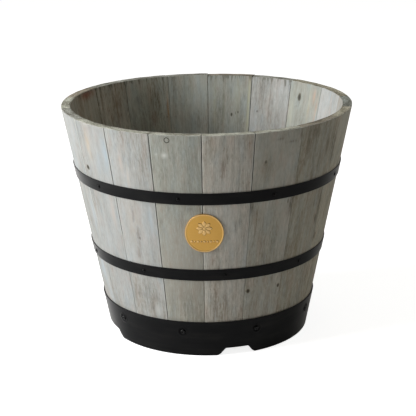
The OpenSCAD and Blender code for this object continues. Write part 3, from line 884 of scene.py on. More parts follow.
INNER_STAINS_AND_SHADE = [
    (199.2, 325.0, 1.6, 26.0, "#a2723d", 0.75),
    (203.5, 345.0, 3.0, 30.0, "#4f4a40", 0.30),
    (214.5, 347.0, 8.0, 12.0, "#4b4a48", 0.35),
    # This oval, the next one and the last one are painted shade: the inside gets darker further down.
    (185.0, 298.0, 24.0, 26.0, "#4f5046", 0.35),
    (218.0, 300.0, 20.0, 30.0, "#403e34", 0.30),
    (247.5, 378.0, 24.0, 7.0, "#8a4a30", 0.80),
    (226.0, 350.0, 8.0, 30.0, "#76583c", 0.40),
    (207.0, 310.0, 6.0, 14.0, "#7a4f38", 0.40),
    (121.5, 366.0, 3.2, 12.0, "#d6a98d", 0.50),
    (118.8, 338.0, 1.8, 22.0, "#d0a084", 0.40),
    (135.5, 325.0, 5.0, 32.0, "#cfccb4", 0.40),
    (124.5, 345.0, 2.0, 34.0, "#c9bf9f", 0.40),
    (118.4, 318.0, 1.8, 12.0, "#a9bccb", 0.40),
    (105.0, 345.0, 1.6, 16.0, "#d9b2a0", 0.40),
    (171.5, 325.0, 2.4, 45.0, "#82826e", 0.35),
    (187.0, 350.0, 2.0, 40.0, "#9a9a82", 0.30),
    (159.4, 330.0, 1.5, 70.0, "#c9c6a4", 0.75),
    (176.0, 330.0, 2.2, 50.0, "#a9a98c", 0.35),
    (165.0, 345.0, 5.0, 40.0, "#a8a892", 0.30),
    (190.0, 330.0, 2.0, 50.0, "#a4a48c", 0.30),
    # Painted shade, darker further down on the inside.
    (240.0, 312.0, 12.0, 26.0, "#44433a", 0.25),
]
print(len(OUTER_KNOTS + INNER_KNOTS), "knots and", len(OUTER_STAINS + INNER_STAINS_AND_SHADE), "stains")

# %% [markdown]
# ## What tells one stave from the next
#
# Perfect staves would melt into one smooth cone. Planing leaves real faces wavy by a tenth or two of a
# millimetre, and each stave stands in or out by a little, which is what makes the joints visible. The joints
# open where the wood dried, mostly near the rim. The tables of knots and stains turn into attributes here.

# %% Unevenness, joints and marks of a stave
# A joint that gapes at a face is pressed shut deeper in, where the staves bite into each other a little.
BITE = 0.03
FACE_ROOM = 0.11
GAP_DEPTH = 5.0
INNER_GAP_SHARE = 0.3
TIGHT_GAP = 0.2
# A gap widens from its foot width to its rim width: from which height on, and over which height.
OUTER_OPENING = (120.0, 240.0)
INNER_OPENING = (315.0, 55.0)
NO_KNOT = [50.0, 50.0, 0.0]
NO_STAIN = [0.5, 0.5, 0.5, 0.0]
# The grain closes up towards a knot by a share that fades over so many of its half widths and heights.
FLOW_SHARE, FLOW_WIDE, FLOW_HIGH = 0.72, 3.2, 4.5
# Shortest and longest wave that the plane left, in millimetres.
WAVE_ACROSS, WAVE_ALONG = (25, 70), (90, 260)
noise_source = np.random.default_rng(1887)


def smooth_step(value):
    """0 below 0, 1 above 1, and 3v^2 - 2v^3 between."""
    v = np.clip(value, 0, 1)
    return v * v * (3 - 2 * v)


def waves(x, z, amplitude):
    """Planed unevenness: four sine waves of random length, direction and start, added up."""
    total = np.zeros_like(x)
    for _ in range(4):
        across, along = noise_source.uniform(*WAVE_ACROSS), noise_source.uniform(*WAVE_ALONG)
        start = noise_source.uniform(0, 2 * math.pi)
        total += np.sin(2 * math.pi * (x / across + z / along) + start)
    return amplitude * total / 4


def joint_gap(index, share, z, outer_side):
    """Half the gap at a stave's faces beside the nearer joint, and how tight that joint is from 0 to 1."""
    gaping = smooth_step(np.where(outer_side, (z - OUTER_OPENING[0]) / OUTER_OPENING[1],
                                  (z - INNER_OPENING[0]) / INNER_OPENING[1]))
    rim_gap, foot_gap = np.where(share[:, None] < 0, JOINT_GAPS[index - 1], JOINT_GAPS[index]).T / 2
    gap = foot_gap + (rim_gap - foot_gap) * gaping
    tight = np.clip(1 - gap / TIGHT_GAP, 0, 1)
    return np.where(outer_side, gap, gap * INNER_GAP_SHARE) + FACE_ROOM, tight


def marks_on(marks, index):
    """The marks of a list that lie between the two joints of a stave."""
    return [mark for mark in marks if abs(wrapped(mark[0] - stave_middles[index])) < stave_halves[index]]


def stave_marks(index, aside, z, radius, outer_side):
    """The grain's x, bent round the knots, and the knot and stain attributes of a stave.

    aside is the distance from the stave's middle line. The grain's pull towards a knot and the cover of a
    stain are both bell curves of the distance, exp(-x^2 - z^2) in units of the mark's half sizes.
    """
    grain_x = aside.copy()
    knot = np.tile(NO_KNOT, (len(z), 1))
    stain_and_shade = np.tile(NO_STAIN, (len(z), 1))
    for chosen, knots, stains in ((outer_side, OUTER_KNOTS, OUTER_STAINS),
                                  (~outer_side, INNER_KNOTS, INNER_STAINS_AND_SHADE)):
        for az, level, wide, high, strength in marks_on(knots, index):
            dx = aside - math.radians(wrapped(az - stave_middles[index])) * radius
            dz = z - level
            pull = FLOW_SHARE * np.exp(-(dx / (FLOW_WIDE * wide)) ** 2 - (dz / (FLOW_HIGH * high)) ** 2)
            grain_x -= np.where(chosen & (strength > 0), dx * pull, 0)
            away = np.hypot(dx / wide, dz / high)
            nearer = chosen & (away < np.hypot(knot[:, 0], knot[:, 1]))
            knot[nearer] = np.stack([dx / wide, dz / high, np.full_like(dx, strength)], axis=1)[nearer]
        for az, level, wide, high, colour, strength in marks_on(stains, index):
            dx = aside - math.radians(wrapped(az - stave_middles[index])) * radius
            cover = strength * np.exp(-(dx / wide) ** 2 - ((z - level) / high) ** 2) * chosen
            stronger = cover > stain_and_shade[:, 3]
            stain_and_shade[stronger, :3] = linear(colour)[:3]
            stain_and_shade[stronger, 3] = cover[stronger]
    return grain_x, knot, stain_and_shade


print("marks on the first stave:", len(marks_on(OUTER_KNOTS + OUTER_STAINS, 0)))

# %% [markdown]
# ## The staves
#
# A stave is a bent box: x runs across it, y runs into the wood from its outer face, and z runs up. Bending
# it means that a point goes to azimuth (middle + x / radius) at radius (cone radius - y). A lattice or a
# curve modifier could bend it too, but then the distances for grain, dirt and stains would be lost.

# %% Staves
EDGE_ROUND = 0.95
GRID_STEP = 2.4
DEPTH_STEP = 2.6
GROOVE_LOW, GROOVE_HIGH, GROOVE_DEPTH = 64.0, 78.6, 6.0
GROOVE_CORNER = 0.02
STAND_BACK = (0.02, 0.28)
OUTER_WAVES, INNER_WAVES = 0.16, 0.2
TOP_RIPPLE, RIPPLE_LENGTH = 0.12, 5
# Each stave reads its own stretch of the grain, as if all were sawn from one long board.
BOARD_STRETCH = 700
CLEAN_ROOM = 3.0
DAMP_ROOM = 0.45
CLEAN_TOP = 11.0


def stave_piece(index):
    """The mesh of one stave with all its attributes."""
    middle, half_turn = stave_middles[index], math.radians(stave_halves[index])
    half_width = half_turn * outer_radius(TUB_HEIGHT / 2)
    step_in = noise_source.uniform(*STAND_BACK)

    across = grid_lines(-half_width, half_width, GRID_STEP, EDGE_ROUND)
    deep = grid_lines(0, WALL, DEPTH_STEP, EDGE_ROUND)
    groove = [level + side for level in (GROOVE_LOW, GROOVE_HIGH) for side in (-GROOVE_CORNER, GROOVE_CORNER)]
    tall = grid_lines(STAVE_LIFT, TUB_HEIGHT, GRID_STEP, EDGE_ROUND, groove)
    flat, quads, sides = box_surface(across, deep, tall)
    x, y, z = rounded(flat, EDGE_ROUND).T

    # Into the wood: the faces' own unevenness, and the groove for the floor.
    in_groove = (flat[:, 1] > WALL - 0.01) & (z > GROOVE_LOW) & (z < GROOVE_HIGH)
    inside = np.clip(y / WALL, 0, 1)
    deeper = waves(x, z, OUTER_WAVES) * (1 - inside) + waves(x, z, INNER_WAVES) * inside
    deeper = deeper + step_in * (1 - inside)
    depth = np.where(in_groove, WALL - GROOVE_DEPTH, y + np.abs(deeper))
    radius = outer_radius(z) - depth
    outer_side = depth < WALL / 2

    # Across the board, the drawn half width follows the cone, less the gap on each side.
    share = x / half_width
    gap, tight = joint_gap(index, share, z, outer_side)
    near_face = np.clip(1 - np.minimum(depth, WALL - depth) / GAP_DEPTH, 0, 1)
    gap = (gap + BITE) * near_face - BITE
    aside = share * half_turn * radius - share * gap
    turn_angle = np.radians(middle) + aside / radius

    # Upwards, the board shrinks evenly to where its top lies.
    first_drop, last_drop = TOP_DROPS[index]
    drop = (first_drop * (1 - share) + last_drop * (1 + share)) / 2
    drop = drop + TOP_RIPPLE * np.sin(x / RIPPLE_LENGTH + index)
    height = z - np.maximum(drop, 0) * (z - STAVE_LIFT) / (TUB_HEIGHT - STAVE_LIFT)
    points = np.stack([radius * np.sin(turn_angle), -radius * np.cos(turn_angle), height], axis=1)

    # A tight joint gathers neither dirt nor wash, which the material gets as more room to the edge. Inside
    # the tub, damp keeps every joint a little dirty.
    spare_room = tight * np.where(outer_side, CLEAN_ROOM, DAMP_ROOM)
    first_room = half_turn * radius + aside + spare_room
    last_room = half_turn * radius - aside + spare_room
    from_top = TUB_HEIGHT - z + (0 if index + 1 in TORN_STAVES else CLEAN_TOP)
    tints = np.array([[*(shade * np.array(linear(TONES[tone])[:3])), wash]
                      for tone, wash, shade in (INSIDES[index], OUTSIDES[index])])
    end_colour, end_shade, end_inner_dark = END_TONES[END_TONE[index]]
    end_tint = [*(end_shade * np.array(linear(end_colour)[:3])), end_inner_dark]
    grain_x, knot, stain_and_shade = stave_marks(index, aside, z, radius, outer_side)
    attributes = {
        "grain": np.stack([grain_x, z + BOARD_STRETCH * index, depth], axis=1),
        "knot": knot,
        "stain_and_shade": stain_and_shade,
        "edges": np.stack([first_room, last_room, from_top], axis=1),
        "tint": tints[outer_side.astype(int)],
        "end_tint": np.tile(end_tint, (len(points), 1)),
    }
    piece = make_piece(f"stave_{index + 1:02d}_wood", points, quads,
                       [washed_fir_material, end_grain_material], (sides >= 4).astype(int), attributes)
    stands_for(piece, f"stave_{index + 1:02d}")
    return piece


staves = [stave_piece(index) for index in range(STAVE_COUNT)]
print("staves:", len(staves), "with", sum(len(s.data.polygons) for s in staves), "faces")

# %% [markdown]
# ## Places on the wall
#
# Everything else on the outside follows the leaning wall: it has an azimuth, a height and a distance out
# from the staves. One function turns those three into a point. A second gives the place and the three
# directions of a flat patch of the wall, for nails and screws that stand square to it. A third finds how
# many separate solids a CAD node has round the tub, from gaps in their azimuths.

# %% Wall helpers
SOLIDS_APART = 0.6


def on_wall(azimuth, height, out):
    """Points at an azimuth in degrees, a height, and a level distance out from the staves."""
    radius = outer_radius(height) + out
    angle = np.radians(azimuth)
    return np.stack([radius * np.sin(angle), -radius * np.cos(angle), height + 0 * angle], axis=-1)


def wall_patch(azimuth, height):
    """Origin on the wall, and unit vectors across it, up its slope and square out of it."""
    a = math.radians(azimuth)
    outward = np.array([math.sin(a), -math.cos(a), 0.0])
    upright = np.array([0.0, 0.0, 1.0])
    origin = outward * outer_radius(height) + upright * height
    across = np.array([math.cos(a), math.sin(a), 0.0])
    slope = outward * math.sin(LEAN) + upright * math.cos(LEAN)
    square = outward * math.cos(LEAN) - upright * math.sin(LEAN)
    return origin, across, slope, square


def solids_round(node):
    """Middle azimuth of each separate solid of a node that stands round the tub, and its points."""
    points = cad_points(node)
    turn = azimuths(points)
    order = np.argsort(turn)
    points, turn = points[order], turn[order]
    cuts = np.flatnonzero(np.diff(turn) > SOLIDS_APART) + 1
    groups = np.split(np.arange(len(turn)), cuts)
    return [((turn[g[0]] + turn[g[-1]]) / 2, points[g]) for g in groups]


upper_nails = solids_round("upper_hoop_nails")
lower_nails = solids_round("lower_hoop_nails")
band_screws = solids_round("base_band_screws")
print("nails and screws:", len(upper_nails), len(lower_nails), len(band_screws))

# %% [markdown]
# ## Hoops and base band
#
# A hoop is a flat strip bent round the tub until its ends overlap at the back, where the outer end steps
# over the inner one. So it is one long thin box whose x runs once round and a lap further. Each nail pulls
# the strip into the wood a little. The base band is the same with more to it: its lower edge rises over
# four notches, and each screw sits in a pressed dish. Both are only shifts of the box's points, so the grid
# is made finer where they are. The faces in every dish and round every nail get painted shade: the black
# without the painted sheen, and darker towards grazing angles.

# %% Strips of steel
HOOP_THICKNESS, BAND_THICKNESS = 1.5, 2.2
STRIP_ROUND_SHARE = 0.3
STRIP_CLEARANCE = 0.1
STRIP_STEP_ALONG, STRIP_STEP_UP = 4.0, 3.0
END_ROOM = 1
# The staves whose middles the laps are nearest to.
UPPER_LAP_STAVE, LOWER_LAP_STAVE, BAND_LAP_STAVE = 10, 9, 12
LAP_LENGTH = 44.0
STEP_LENGTH = 7.0
# The inner end starts this much late and the outer end's step is done this much early, so they never touch.
LAP_EASE = 1
NAIL_DIMPLE = 0.25
NAIL_DIMPLE_RADIUS = 6.0
NAIL_SHADE_RADIUS = 4.5
NAIL_GRID = np.arange(-5.6, 5.7, 0.7)
BAND_SCREW_HEIGHT = 43.7
DISH_RADIUS = 6.7
DISH_FLOOR_RADIUS = 4.2
DISH_DEPTH = 1.3
DISH_SHADE_RADIUS = DISH_RADIUS + 0.8
DISH_LIP, DISH_LIP_OUT, DISH_LIP_WIDTH = 0.4, 1.2, 0.9
DISH_GRID = np.arange(-9.75, 9.8, 0.75)
NOTCH_AZIMUTHS = 15.6 + 90.0 * np.arange(4)
NOTCH_FOOT_WIDTHS = [57.0, 92.0, 57.0, 92.0]
NOTCH_HEIGHT, NOTCH_FLANK = 13.0, 10.0
NOTCH_TOP_CURVE, NOTCH_FOOT_CURVE = 2.0, 5.5
FLANK_GRID = np.arange(-NOTCH_FLANK - 3, 6, 0.75)


def notch_height(azimuth, radius):
    """Height of the band's lower edge: a trapezium over each notch, with all its corners rounded.

    The straight flank climbs from 0 to the notch's height. Where it comes within k of a bend, the term
    (k - distance)^2 / 4k is added at the foot and taken off at the top, which turns the bend into a curve.
    """
    height = np.zeros_like(azimuth)
    for middle, foot_width in zip(NOTCH_AZIMUTHS, NOTCH_FOOT_WIDTHS):
        aside = np.abs(radius * np.sin(np.radians(np.clip(wrapped(azimuth - middle), -80, 80))))
        climb = (foot_width / 2 - aside) / NOTCH_FLANK * NOTCH_HEIGHT
        near_top = np.clip(NOTCH_TOP_CURVE - np.abs(climb - NOTCH_HEIGHT), 0, None)
        near_foot = np.clip(NOTCH_FOOT_CURVE - np.abs(climb), 0, None)
        flank = np.clip(climb, 0, NOTCH_HEIGHT) - near_top ** 2 / (4 * NOTCH_TOP_CURVE)
        height = np.maximum(height, flank + near_foot ** 2 / (4 * NOTCH_FOOT_CURVE))
    return height


def notch_lines(start, degrees_per_mm):
    """Places along the band, from its start, where the flanks of the notches need a finer grid."""
    lines = []
    for middle, foot_width in zip(NOTCH_AZIMUTHS, NOTCH_FOOT_WIDTHS):
        flank = np.degrees(np.arcsin((foot_width / 2 + FLANK_GRID) / outer_radius(0))) / degrees_per_mm
        notch_x = ((middle - start) % 360) / degrees_per_mm
        lines += [notch_x - flank, notch_x + flank]
    return np.concatenate(lines)


def strip_piece(node, thickness, lap_azimuth, fixings, dished):
    """A strip bent round the tub over a node's height. fixings are the azimuths of its nails or screws."""
    low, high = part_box(node)[0][2] / MM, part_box(node)[1][2] / MM
    level = (low + high) / 2
    radius = outer_radius(level)
    degrees_per_mm = math.degrees(1 / radius)
    start = lap_azimuth - (LAP_LENGTH / 2 - LAP_EASE) * degrees_per_mm
    once_round = 2 * math.pi * radius
    length = once_round + LAP_LENGTH - LAP_EASE
    fix_height = BAND_SCREW_HEIGHT if dished else level

    fine = DISH_GRID if dished else NAIL_GRID
    fix_x = np.array([(az - start) % 360 for az in fixings]) / degrees_per_mm
    fix_x = np.concatenate([fix_x, fix_x[fix_x < LAP_LENGTH] + once_round])
    extra_x = (fix_x[:, None] + fine).ravel()
    if dished:
        extra_x = np.concatenate([extra_x, notch_lines(start, degrees_per_mm)])
    extra_x = extra_x[(extra_x > END_ROOM) & (extra_x < length - END_ROOM)]
    edge = STRIP_ROUND_SHARE * thickness
    along = grid_lines(0, length, STRIP_STEP_ALONG, edge, extra_x)
    deep = grid_lines(0, thickness, thickness, edge)
    tall = grid_lines(low, high, STRIP_STEP_UP, edge, fix_height + fine)
    flat, quads, sides = box_surface(along, deep, tall)
    x, y, z = rounded(flat, edge).T

    azimuth = start + x * degrees_per_mm
    over = smooth_step((x - once_round + STEP_LENGTH) / (STEP_LENGTH - LAP_EASE))
    out = STRIP_CLEARANCE + (thickness + STRIP_CLEARANCE) * over + thickness - y

    # Pressed dishes or nail dimples: the outer face goes in, the inner face stays.
    gap_x = np.abs(x[:, None] - fix_x).min(axis=1)
    slope_gap = (z - fix_height) / math.cos(LEAN)
    away = np.hypot(gap_x * outer_radius(z) / radius, slope_gap)
    if dished:
        press = DISH_DEPTH * smooth_step((DISH_RADIUS - away) / (DISH_RADIUS - DISH_FLOOR_RADIUS))
        press -= DISH_LIP * np.exp(-((away - DISH_RADIUS - DISH_LIP_OUT) / DISH_LIP_WIDTH) ** 2)
        rise = notch_height(azimuth, outer_radius(z))
        z = rise + (z - low) * (high - rise) / (high - low)
    else:
        press = NAIL_DIMPLE * smooth_step(1 - away / NAIL_DIMPLE_RADIUS)
    out = out - press * (1 - y / thickness)
    recess = DISH_SHADE_RADIUS if dished else NAIL_SHADE_RADIUS
    # The faces in the dishes and round the nails get the painted shade.
    painted_shade_faces = (away[quads].mean(axis=1) < recess) & (sides == 2)
    piece = make_piece(node + "_steel", on_wall(azimuth, z, out), quads,
                       [black_steel_material, recess_painted_shade_material], painted_shade_faces.astype(int),
                       {"along": np.stack([x, z, y], axis=1)})
    stands_for(piece, node)
    return piece


upper_hoop = strip_piece("upper_hoop", HOOP_THICKNESS, stave_middles[UPPER_LAP_STAVE - 1],
                         [az for az, _ in upper_nails], False)
lower_hoop = strip_piece("lower_hoop", HOOP_THICKNESS, stave_middles[LOWER_LAP_STAVE - 1],
                         [az for az, _ in lower_nails], False)
screw_azimuths = [az for az, _ in band_screws]
band_lap_azimuth = min(screw_azimuths, key=lambda az: abs(wrapped(az - stave_middles[BAND_LAP_STAVE - 1])))
base_band = strip_piece("base_band", BAND_THICKNESS, band_lap_azimuth, screw_azimuths, True)
print("faces of the strips:", [len(p.data.polygons) for p in (upper_hoop, lower_hoop, base_band)])

# %% [markdown]
# ## Nails and screws
#
# These are turned parts: an outline spun round an axis. Blender's Spin could do it, but an outline times a
# circle is just a grid, and a whole ring of nails can be computed in one array. The head of a band screw
# also has a cross pressed into it, which is a dip of the same grid wherever x or y is small.

# %% Turned parts
def ring_faces(rings, steps):
    """Faces of a closed skin: point 0 at the top, rings of so many steps each, and a last point below.

    Each point of a ring is joined to its neighbour and to the ring below, and the two end points to the
    first and the last ring.
    """
    number = 1 + np.arange(rings * steps).reshape(rings, steps)
    beside = np.roll(number, -1, axis=1)
    quads = np.stack([number[:-1], number[1:], beside[1:], beside[:-1]], axis=-1).reshape(-1, 4)
    top = np.stack([np.zeros(steps, int), number[0], beside[0]], axis=1)
    foot = np.stack([beside[-1], number[-1], np.full(steps, 1 + rings * steps)], axis=1)
    return quads.tolist() + top.tolist() + foot.tolist()


def turned(outline, frames, steps, dip=None):
    """Points and faces of the same turned part at several frames.

    outline rows are (distance from the axis, height), from the top to the bottom. Its first and last points
    lie on the axis and close the part. A point is origin + r cos(a) across + r sin(a) slope + h square.
    """
    outline = np.asarray(outline, float)
    angle = np.linspace(0, 2 * math.pi, steps, endpoint=False)
    ring_r, ring_h = outline[1:-1, 0, None], outline[1:-1, 1, None]
    local = np.stack([ring_r * np.cos(angle), ring_r * np.sin(angle), ring_h + 0 * angle], axis=-1)
    local = np.concatenate([[[0, 0, outline[0, 1]]], local.reshape(-1, 3), [[0, 0, outline[-1, 1]]]])
    if dip is not None:
        local[:, 2] -= dip(local)

    faces = ring_faces(len(outline) - 2, steps)
    points, all_faces = [], []
    for count, (origin, across, slope, square) in enumerate(frames):
        points.append(origin + local @ np.stack([across, slope, square]))
        all_faces += [[k + count * len(local) for k in face] for face in faces]
    return np.concatenate(points), all_faces


def fixing_frames(solids, height, spin):
    """A frame for each solid at a height, its origin lifted so that the head's top is where the CAD has it.

    spin turns each frame by a random angle, as a driver leaves a screw.
    """
    frames = []
    for azimuth, points in solids:
        origin, across, slope, square = wall_patch(azimuth, height)
        lift = ((points - origin) @ square).max()
        angle = noise_source.uniform(0, 2 * math.pi) if spin else 0.0
        turned_across = across * math.cos(angle) + slope * math.sin(angle)
        turned_slope = slope * math.cos(angle) - across * math.sin(angle)
        frames.append((origin + square * lift, turned_across, turned_slope, square))
    return frames


# Heights count down from the top of the head.
NAIL_OUTLINE = [(0, 0), (0.7, -0.06), (1.4, -0.26), (2.05, -0.62), (2.5, -1.05), (2.7, -1.38), (2.6, -1.5),
                (1.1, -1.5), (1.1, -13.4), (0, -14.5)]
SCREW_TOP = [(r, 0.0) for r in np.arange(0.3, 2.6, 0.3)]
SCREW_OUTLINE = [(0, 0)] + SCREW_TOP + [(2.9, -0.12), (3.4, -0.45), (3.8, -1.0), (4.0, -1.7), (3.95, -2.15),
                                        (2.0, -2.2), (2.0, -14.0), (0, -15.2)]
CROSS_END, CROSS_SIDE = 2.3, 0.8
CROSS_FADE = 0.4
CROSS_DEPTH = 1.0


def cross_dip(local):
    """Depth of the cross pressed into a flat top, which fades at the end and the sides of its arms."""
    x, y, h = np.abs(local).T
    narrow = smooth_step((CROSS_SIDE - np.minimum(x, y)) / CROSS_FADE)
    short = smooth_step((CROSS_END - np.maximum(x, y)) / CROSS_FADE)
    return CROSS_DEPTH * narrow * short * (h < 0.01)


def fixings_piece(node, solids, height, outline, steps, material, dip=None):
    """One piece with every nail or screw of a CAD node."""
    points, faces = turned(outline, fixing_frames(solids, height, dip is not None), steps, dip)
    piece = make_piece(node + "_heads", points, faces, [material])
    stands_for(piece, node)


upper_level = (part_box("upper_hoop")[0][2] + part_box("upper_hoop")[1][2]) / 2 / MM
lower_level = (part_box("lower_hoop")[0][2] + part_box("lower_hoop")[1][2]) / 2 / MM
fixings_piece("upper_hoop_nails", upper_nails, upper_level, NAIL_OUTLINE, 24, sooty_material)
fixings_piece("lower_hoop_nails", lower_nails, lower_level, NAIL_OUTLINE, 24, sooty_material)
fixings_piece("base_band_screws", band_screws, BAND_SCREW_HEIGHT, SCREW_OUTLINE, 48, oiled_material,
              cross_dip)
print("hoop levels in mm:", round(upper_level, 1), round(lower_level, 1))

# %% [markdown]
# ## Slatted floor
#
# Five slats lie side by side with gaps for water, and their ends are cut to a circle that fits the groove
# in the staves. Each is a straight box whose ends are drawn in to the circle. Two battens run across below.

# %% Slats and battens
BOARD_EDGE = 0.8
BOARD_GRID = 6.0
# How far apart two boards lie on the grain, across it and along it.
BOARD_SHIFT = (37.0, 500.0)
FIRST_SLAT_SEED, FIRST_BATTEN_SEED = 1, 9


def board_piece(node, seed, round_ends):
    """A floor board that fills a CAD node's box. With round ends, its long ends follow the slats' circle.

    Boards lie with their grain along the longer side, x for the slats and y for the battens.
    """
    low, high = (np.array(corner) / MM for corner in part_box(node))
    lines = [grid_lines(a, b, BOARD_GRID, BOARD_EDGE) for a, b in zip(low, high)]
    flat, quads, _ = box_surface(*lines)
    points = rounded(flat, BOARD_EDGE)
    if round_ends:
        circle = np.hypot(*cad_points(node)[:, :2].T).max()
        half_length = max(-low[0], high[0])
        reach = np.sqrt(np.maximum(circle ** 2 - points[:, 1] ** 2, 0))
        points[:, 0] *= reach / half_length
        grain = points[:, [1, 0, 2]]
    else:
        grain = points.copy()
    grain = grain + [BOARD_SHIFT[0] * seed, BOARD_SHIFT[1] * seed, 0.0]
    piece = make_piece(node + "_wood", points, quads, [bare_fir_material], attributes={"grain": grain})
    stands_for(piece, node)


slat_names = sorted(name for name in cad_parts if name.startswith("floor_slat_"))
batten_names = ["left_batten", "right_batten"]
for seed, name in enumerate(slat_names, FIRST_SLAT_SEED):
    board_piece(name, seed, True)
for seed, name in enumerate(batten_names, FIRST_BATTEN_SEED):
    board_piece(name, seed, False)
print("slats:", len(slat_names), "battens:", len(batten_names))

# %% [markdown]
# ## Floor screws
#
# A countersunk screw holds each slat to each batten. The screws are turned parts that point straight down.
# Their places are read off the CAD node, whose points fall into one group for each screw along a batten.

# %% Floor screws
FLOOR_SCREW_OUTLINE = [(0, 0)] + SCREW_TOP + [(3.5, 0.0), (3.7, -0.1), (1.8, -2.0), (1.8, -28.0), (0, -29.0)]
SCREW_REACH, SCREWS_APART = 6, 8
screw_points = cad_points("floor_screws")
screw_top = screw_points[:, 2].max()
batten_lines = sorted({round((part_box(n)[0][0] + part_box(n)[1][0]) / 2 / MM, 2) for n in batten_names})
floor_frames = []
for x in batten_lines:
    ys = np.sort(screw_points[np.abs(screw_points[:, 0] - x) < SCREW_REACH][:, 1])
    for group in np.split(ys, np.flatnonzero(np.diff(ys) > SCREWS_APART) + 1):
        turn_by = noise_source.uniform(0, math.pi)
        across = np.array([math.cos(turn_by), math.sin(turn_by), 0.0])
        slope = np.array([-math.sin(turn_by), math.cos(turn_by), 0.0])
        origin = np.array([x, (group[0] + group[-1]) / 2, screw_top])
        floor_frames.append((origin, across, slope, np.array([0.0, 0.0, 1.0])))
points, faces = turned(FLOOR_SCREW_OUTLINE, floor_frames, 32, cross_dip)
floor_screws = make_piece("floor_screws_heads", points, faces, [zinc_material])
stands_for(floor_screws, "floor_screws")
print("floor screws:", len(floor_frames))

# %% [markdown]
# ## The plaque's pattern
#
# The oval plaque is a stamped sheet: a flat field inside a raised border, with a pattern pressed up from
# behind. Here the pattern is a plain rosette with eight petals over a row of beads. It could be sculpted,
# but a formula for its height stays sharp at any size and gives its steepness as well.

# %% Pattern of the plaque
PLAQUE_WIDTH, PLAQUE_HEIGHT = 60.0, 67.0
BORDER_WIDTH, BORDER_HEIGHT, BORDER_SLOPE = 2.6, 0.5, 0.03
# Outside the border, the sheet's edge turns down over the last of the way out.
EDGE_FALL, EDGE_START, EDGE_SLOPE = 0.45, 0.985, 0.015
ROSETTE_RADIUS, ROSETTE_MIDDLE = 12.5, 8.5
PETALS, PETAL_HEIGHT, PETAL_FULLNESS = 8, 0.8, 1.15
BUTTON_RADIUS, BUTTON_HEIGHT = 2.6, 0.9
# Beads in a row below the rosette, every second one smaller.
BEAD_ROW, BEADS_BESIDE, BEAD_SPACING = -14.5, 4, 4.9
BEAD_RADIUS, BEAD_HEIGHT, SMALL_BEAD_SHARE = 2.1, 0.9, 0.7


def dome(distance, radius, height):
    """A dome's height: height * sqrt(1 - (distance / radius)^2), and 0 outside its radius."""
    return height * np.sqrt(np.clip(1 - (distance / radius) ** 2, 0, 1))


def plaque_relief(u, v, share):
    """Height of the pattern over the field at (u, v) mm, where share is 0 in the middle and 1 at the rim.

    The border is a plateau with soft sides. A petal is a round-backed leaf: its height falls off as the
    angle nears the gap between two petals and as the distance nears its tip. Beads are small domes.
    """
    border_share = BORDER_WIDTH / (PLAQUE_WIDTH / 2)
    border = BORDER_HEIGHT * smooth_step((share - 1 + border_share) / BORDER_SLOPE)
    border -= EDGE_FALL * smooth_step((share - EDGE_START) / EDGE_SLOPE)
    distance, angle = np.hypot(u, v - ROSETTE_MIDDLE), np.arctan2(u, v - ROSETTE_MIDDLE)
    across_petal = np.abs(((angle / (2 * math.pi) * PETALS + 0.5) % 1) - 0.5) * 2
    outline = PETAL_FULLNESS * np.sin(math.pi * np.clip(distance / ROSETTE_RADIUS, 0, 1))
    leaf = 1 - (across_petal / np.clip(outline, 0.05, 1)) ** 2
    petal = PETAL_HEIGHT * np.sqrt(np.clip(leaf, 0, 1)) * (distance < ROSETTE_RADIUS)
    button = dome(distance, BUTTON_RADIUS, BUTTON_HEIGHT)
    bead_number = np.clip(np.round(u / BEAD_SPACING), -BEADS_BESIDE, BEADS_BESIDE)
    bead_radius = np.where(bead_number % 2 == 0, BEAD_RADIUS, SMALL_BEAD_SHARE * BEAD_RADIUS)
    bead = dome(np.hypot(u - bead_number * BEAD_SPACING, v - BEAD_ROW), bead_radius, BEAD_HEIGHT)
    return border + np.maximum(petal, np.maximum(button, bead))


print("top of a bead in mm:", round(float(plaque_relief(0.0, BEAD_ROW, 0.5)), 2))

# %% [markdown]
# ## The plaque
#
# The whole front is one grid in polar form, whose rings follow the oval border: how far out a point is, and
# at what angle. It is raised by the pattern and then laid on the leaning, curved wall. How steep the pattern
# is comes from reading it twice more, a little aside and a little above.

# %% Plaque
PLAQUE_THICKNESS = 1.6
PLAQUE_LEVEL, PLAQUE_AZIMUTH = 221.6, -1.45
PLAQUE_STEPS = 336
SLOPE_STEP = 0.2
STEEP_RIM = 0.98

ring_shares = np.unique(np.concatenate([np.linspace(0.012, 0.9, 76), np.linspace(0.9, 1.0, 16)]))
angle = np.linspace(0, 2 * math.pi, PLAQUE_STEPS, endpoint=False)
u = np.concatenate([[0], (ring_shares[:, None] * PLAQUE_WIDTH / 2 * np.cos(angle)).ravel()])
v = np.concatenate([[0], (ring_shares[:, None] * PLAQUE_HEIGHT / 2 * np.sin(angle)).ravel()])
share = np.concatenate([[0], np.repeat(ring_shares, PLAQUE_STEPS)])
here = plaque_relief(u, v, share)
aside, above = plaque_relief(u + SLOPE_STEP, v, share), plaque_relief(u, v + SLOPE_STEP, share)
steepness = np.hypot(aside - here, above - here) / SLOPE_STEP + (share > STEEP_RIM)
relief = np.stack([here / BORDER_HEIGHT, steepness, 0 * here], axis=1)

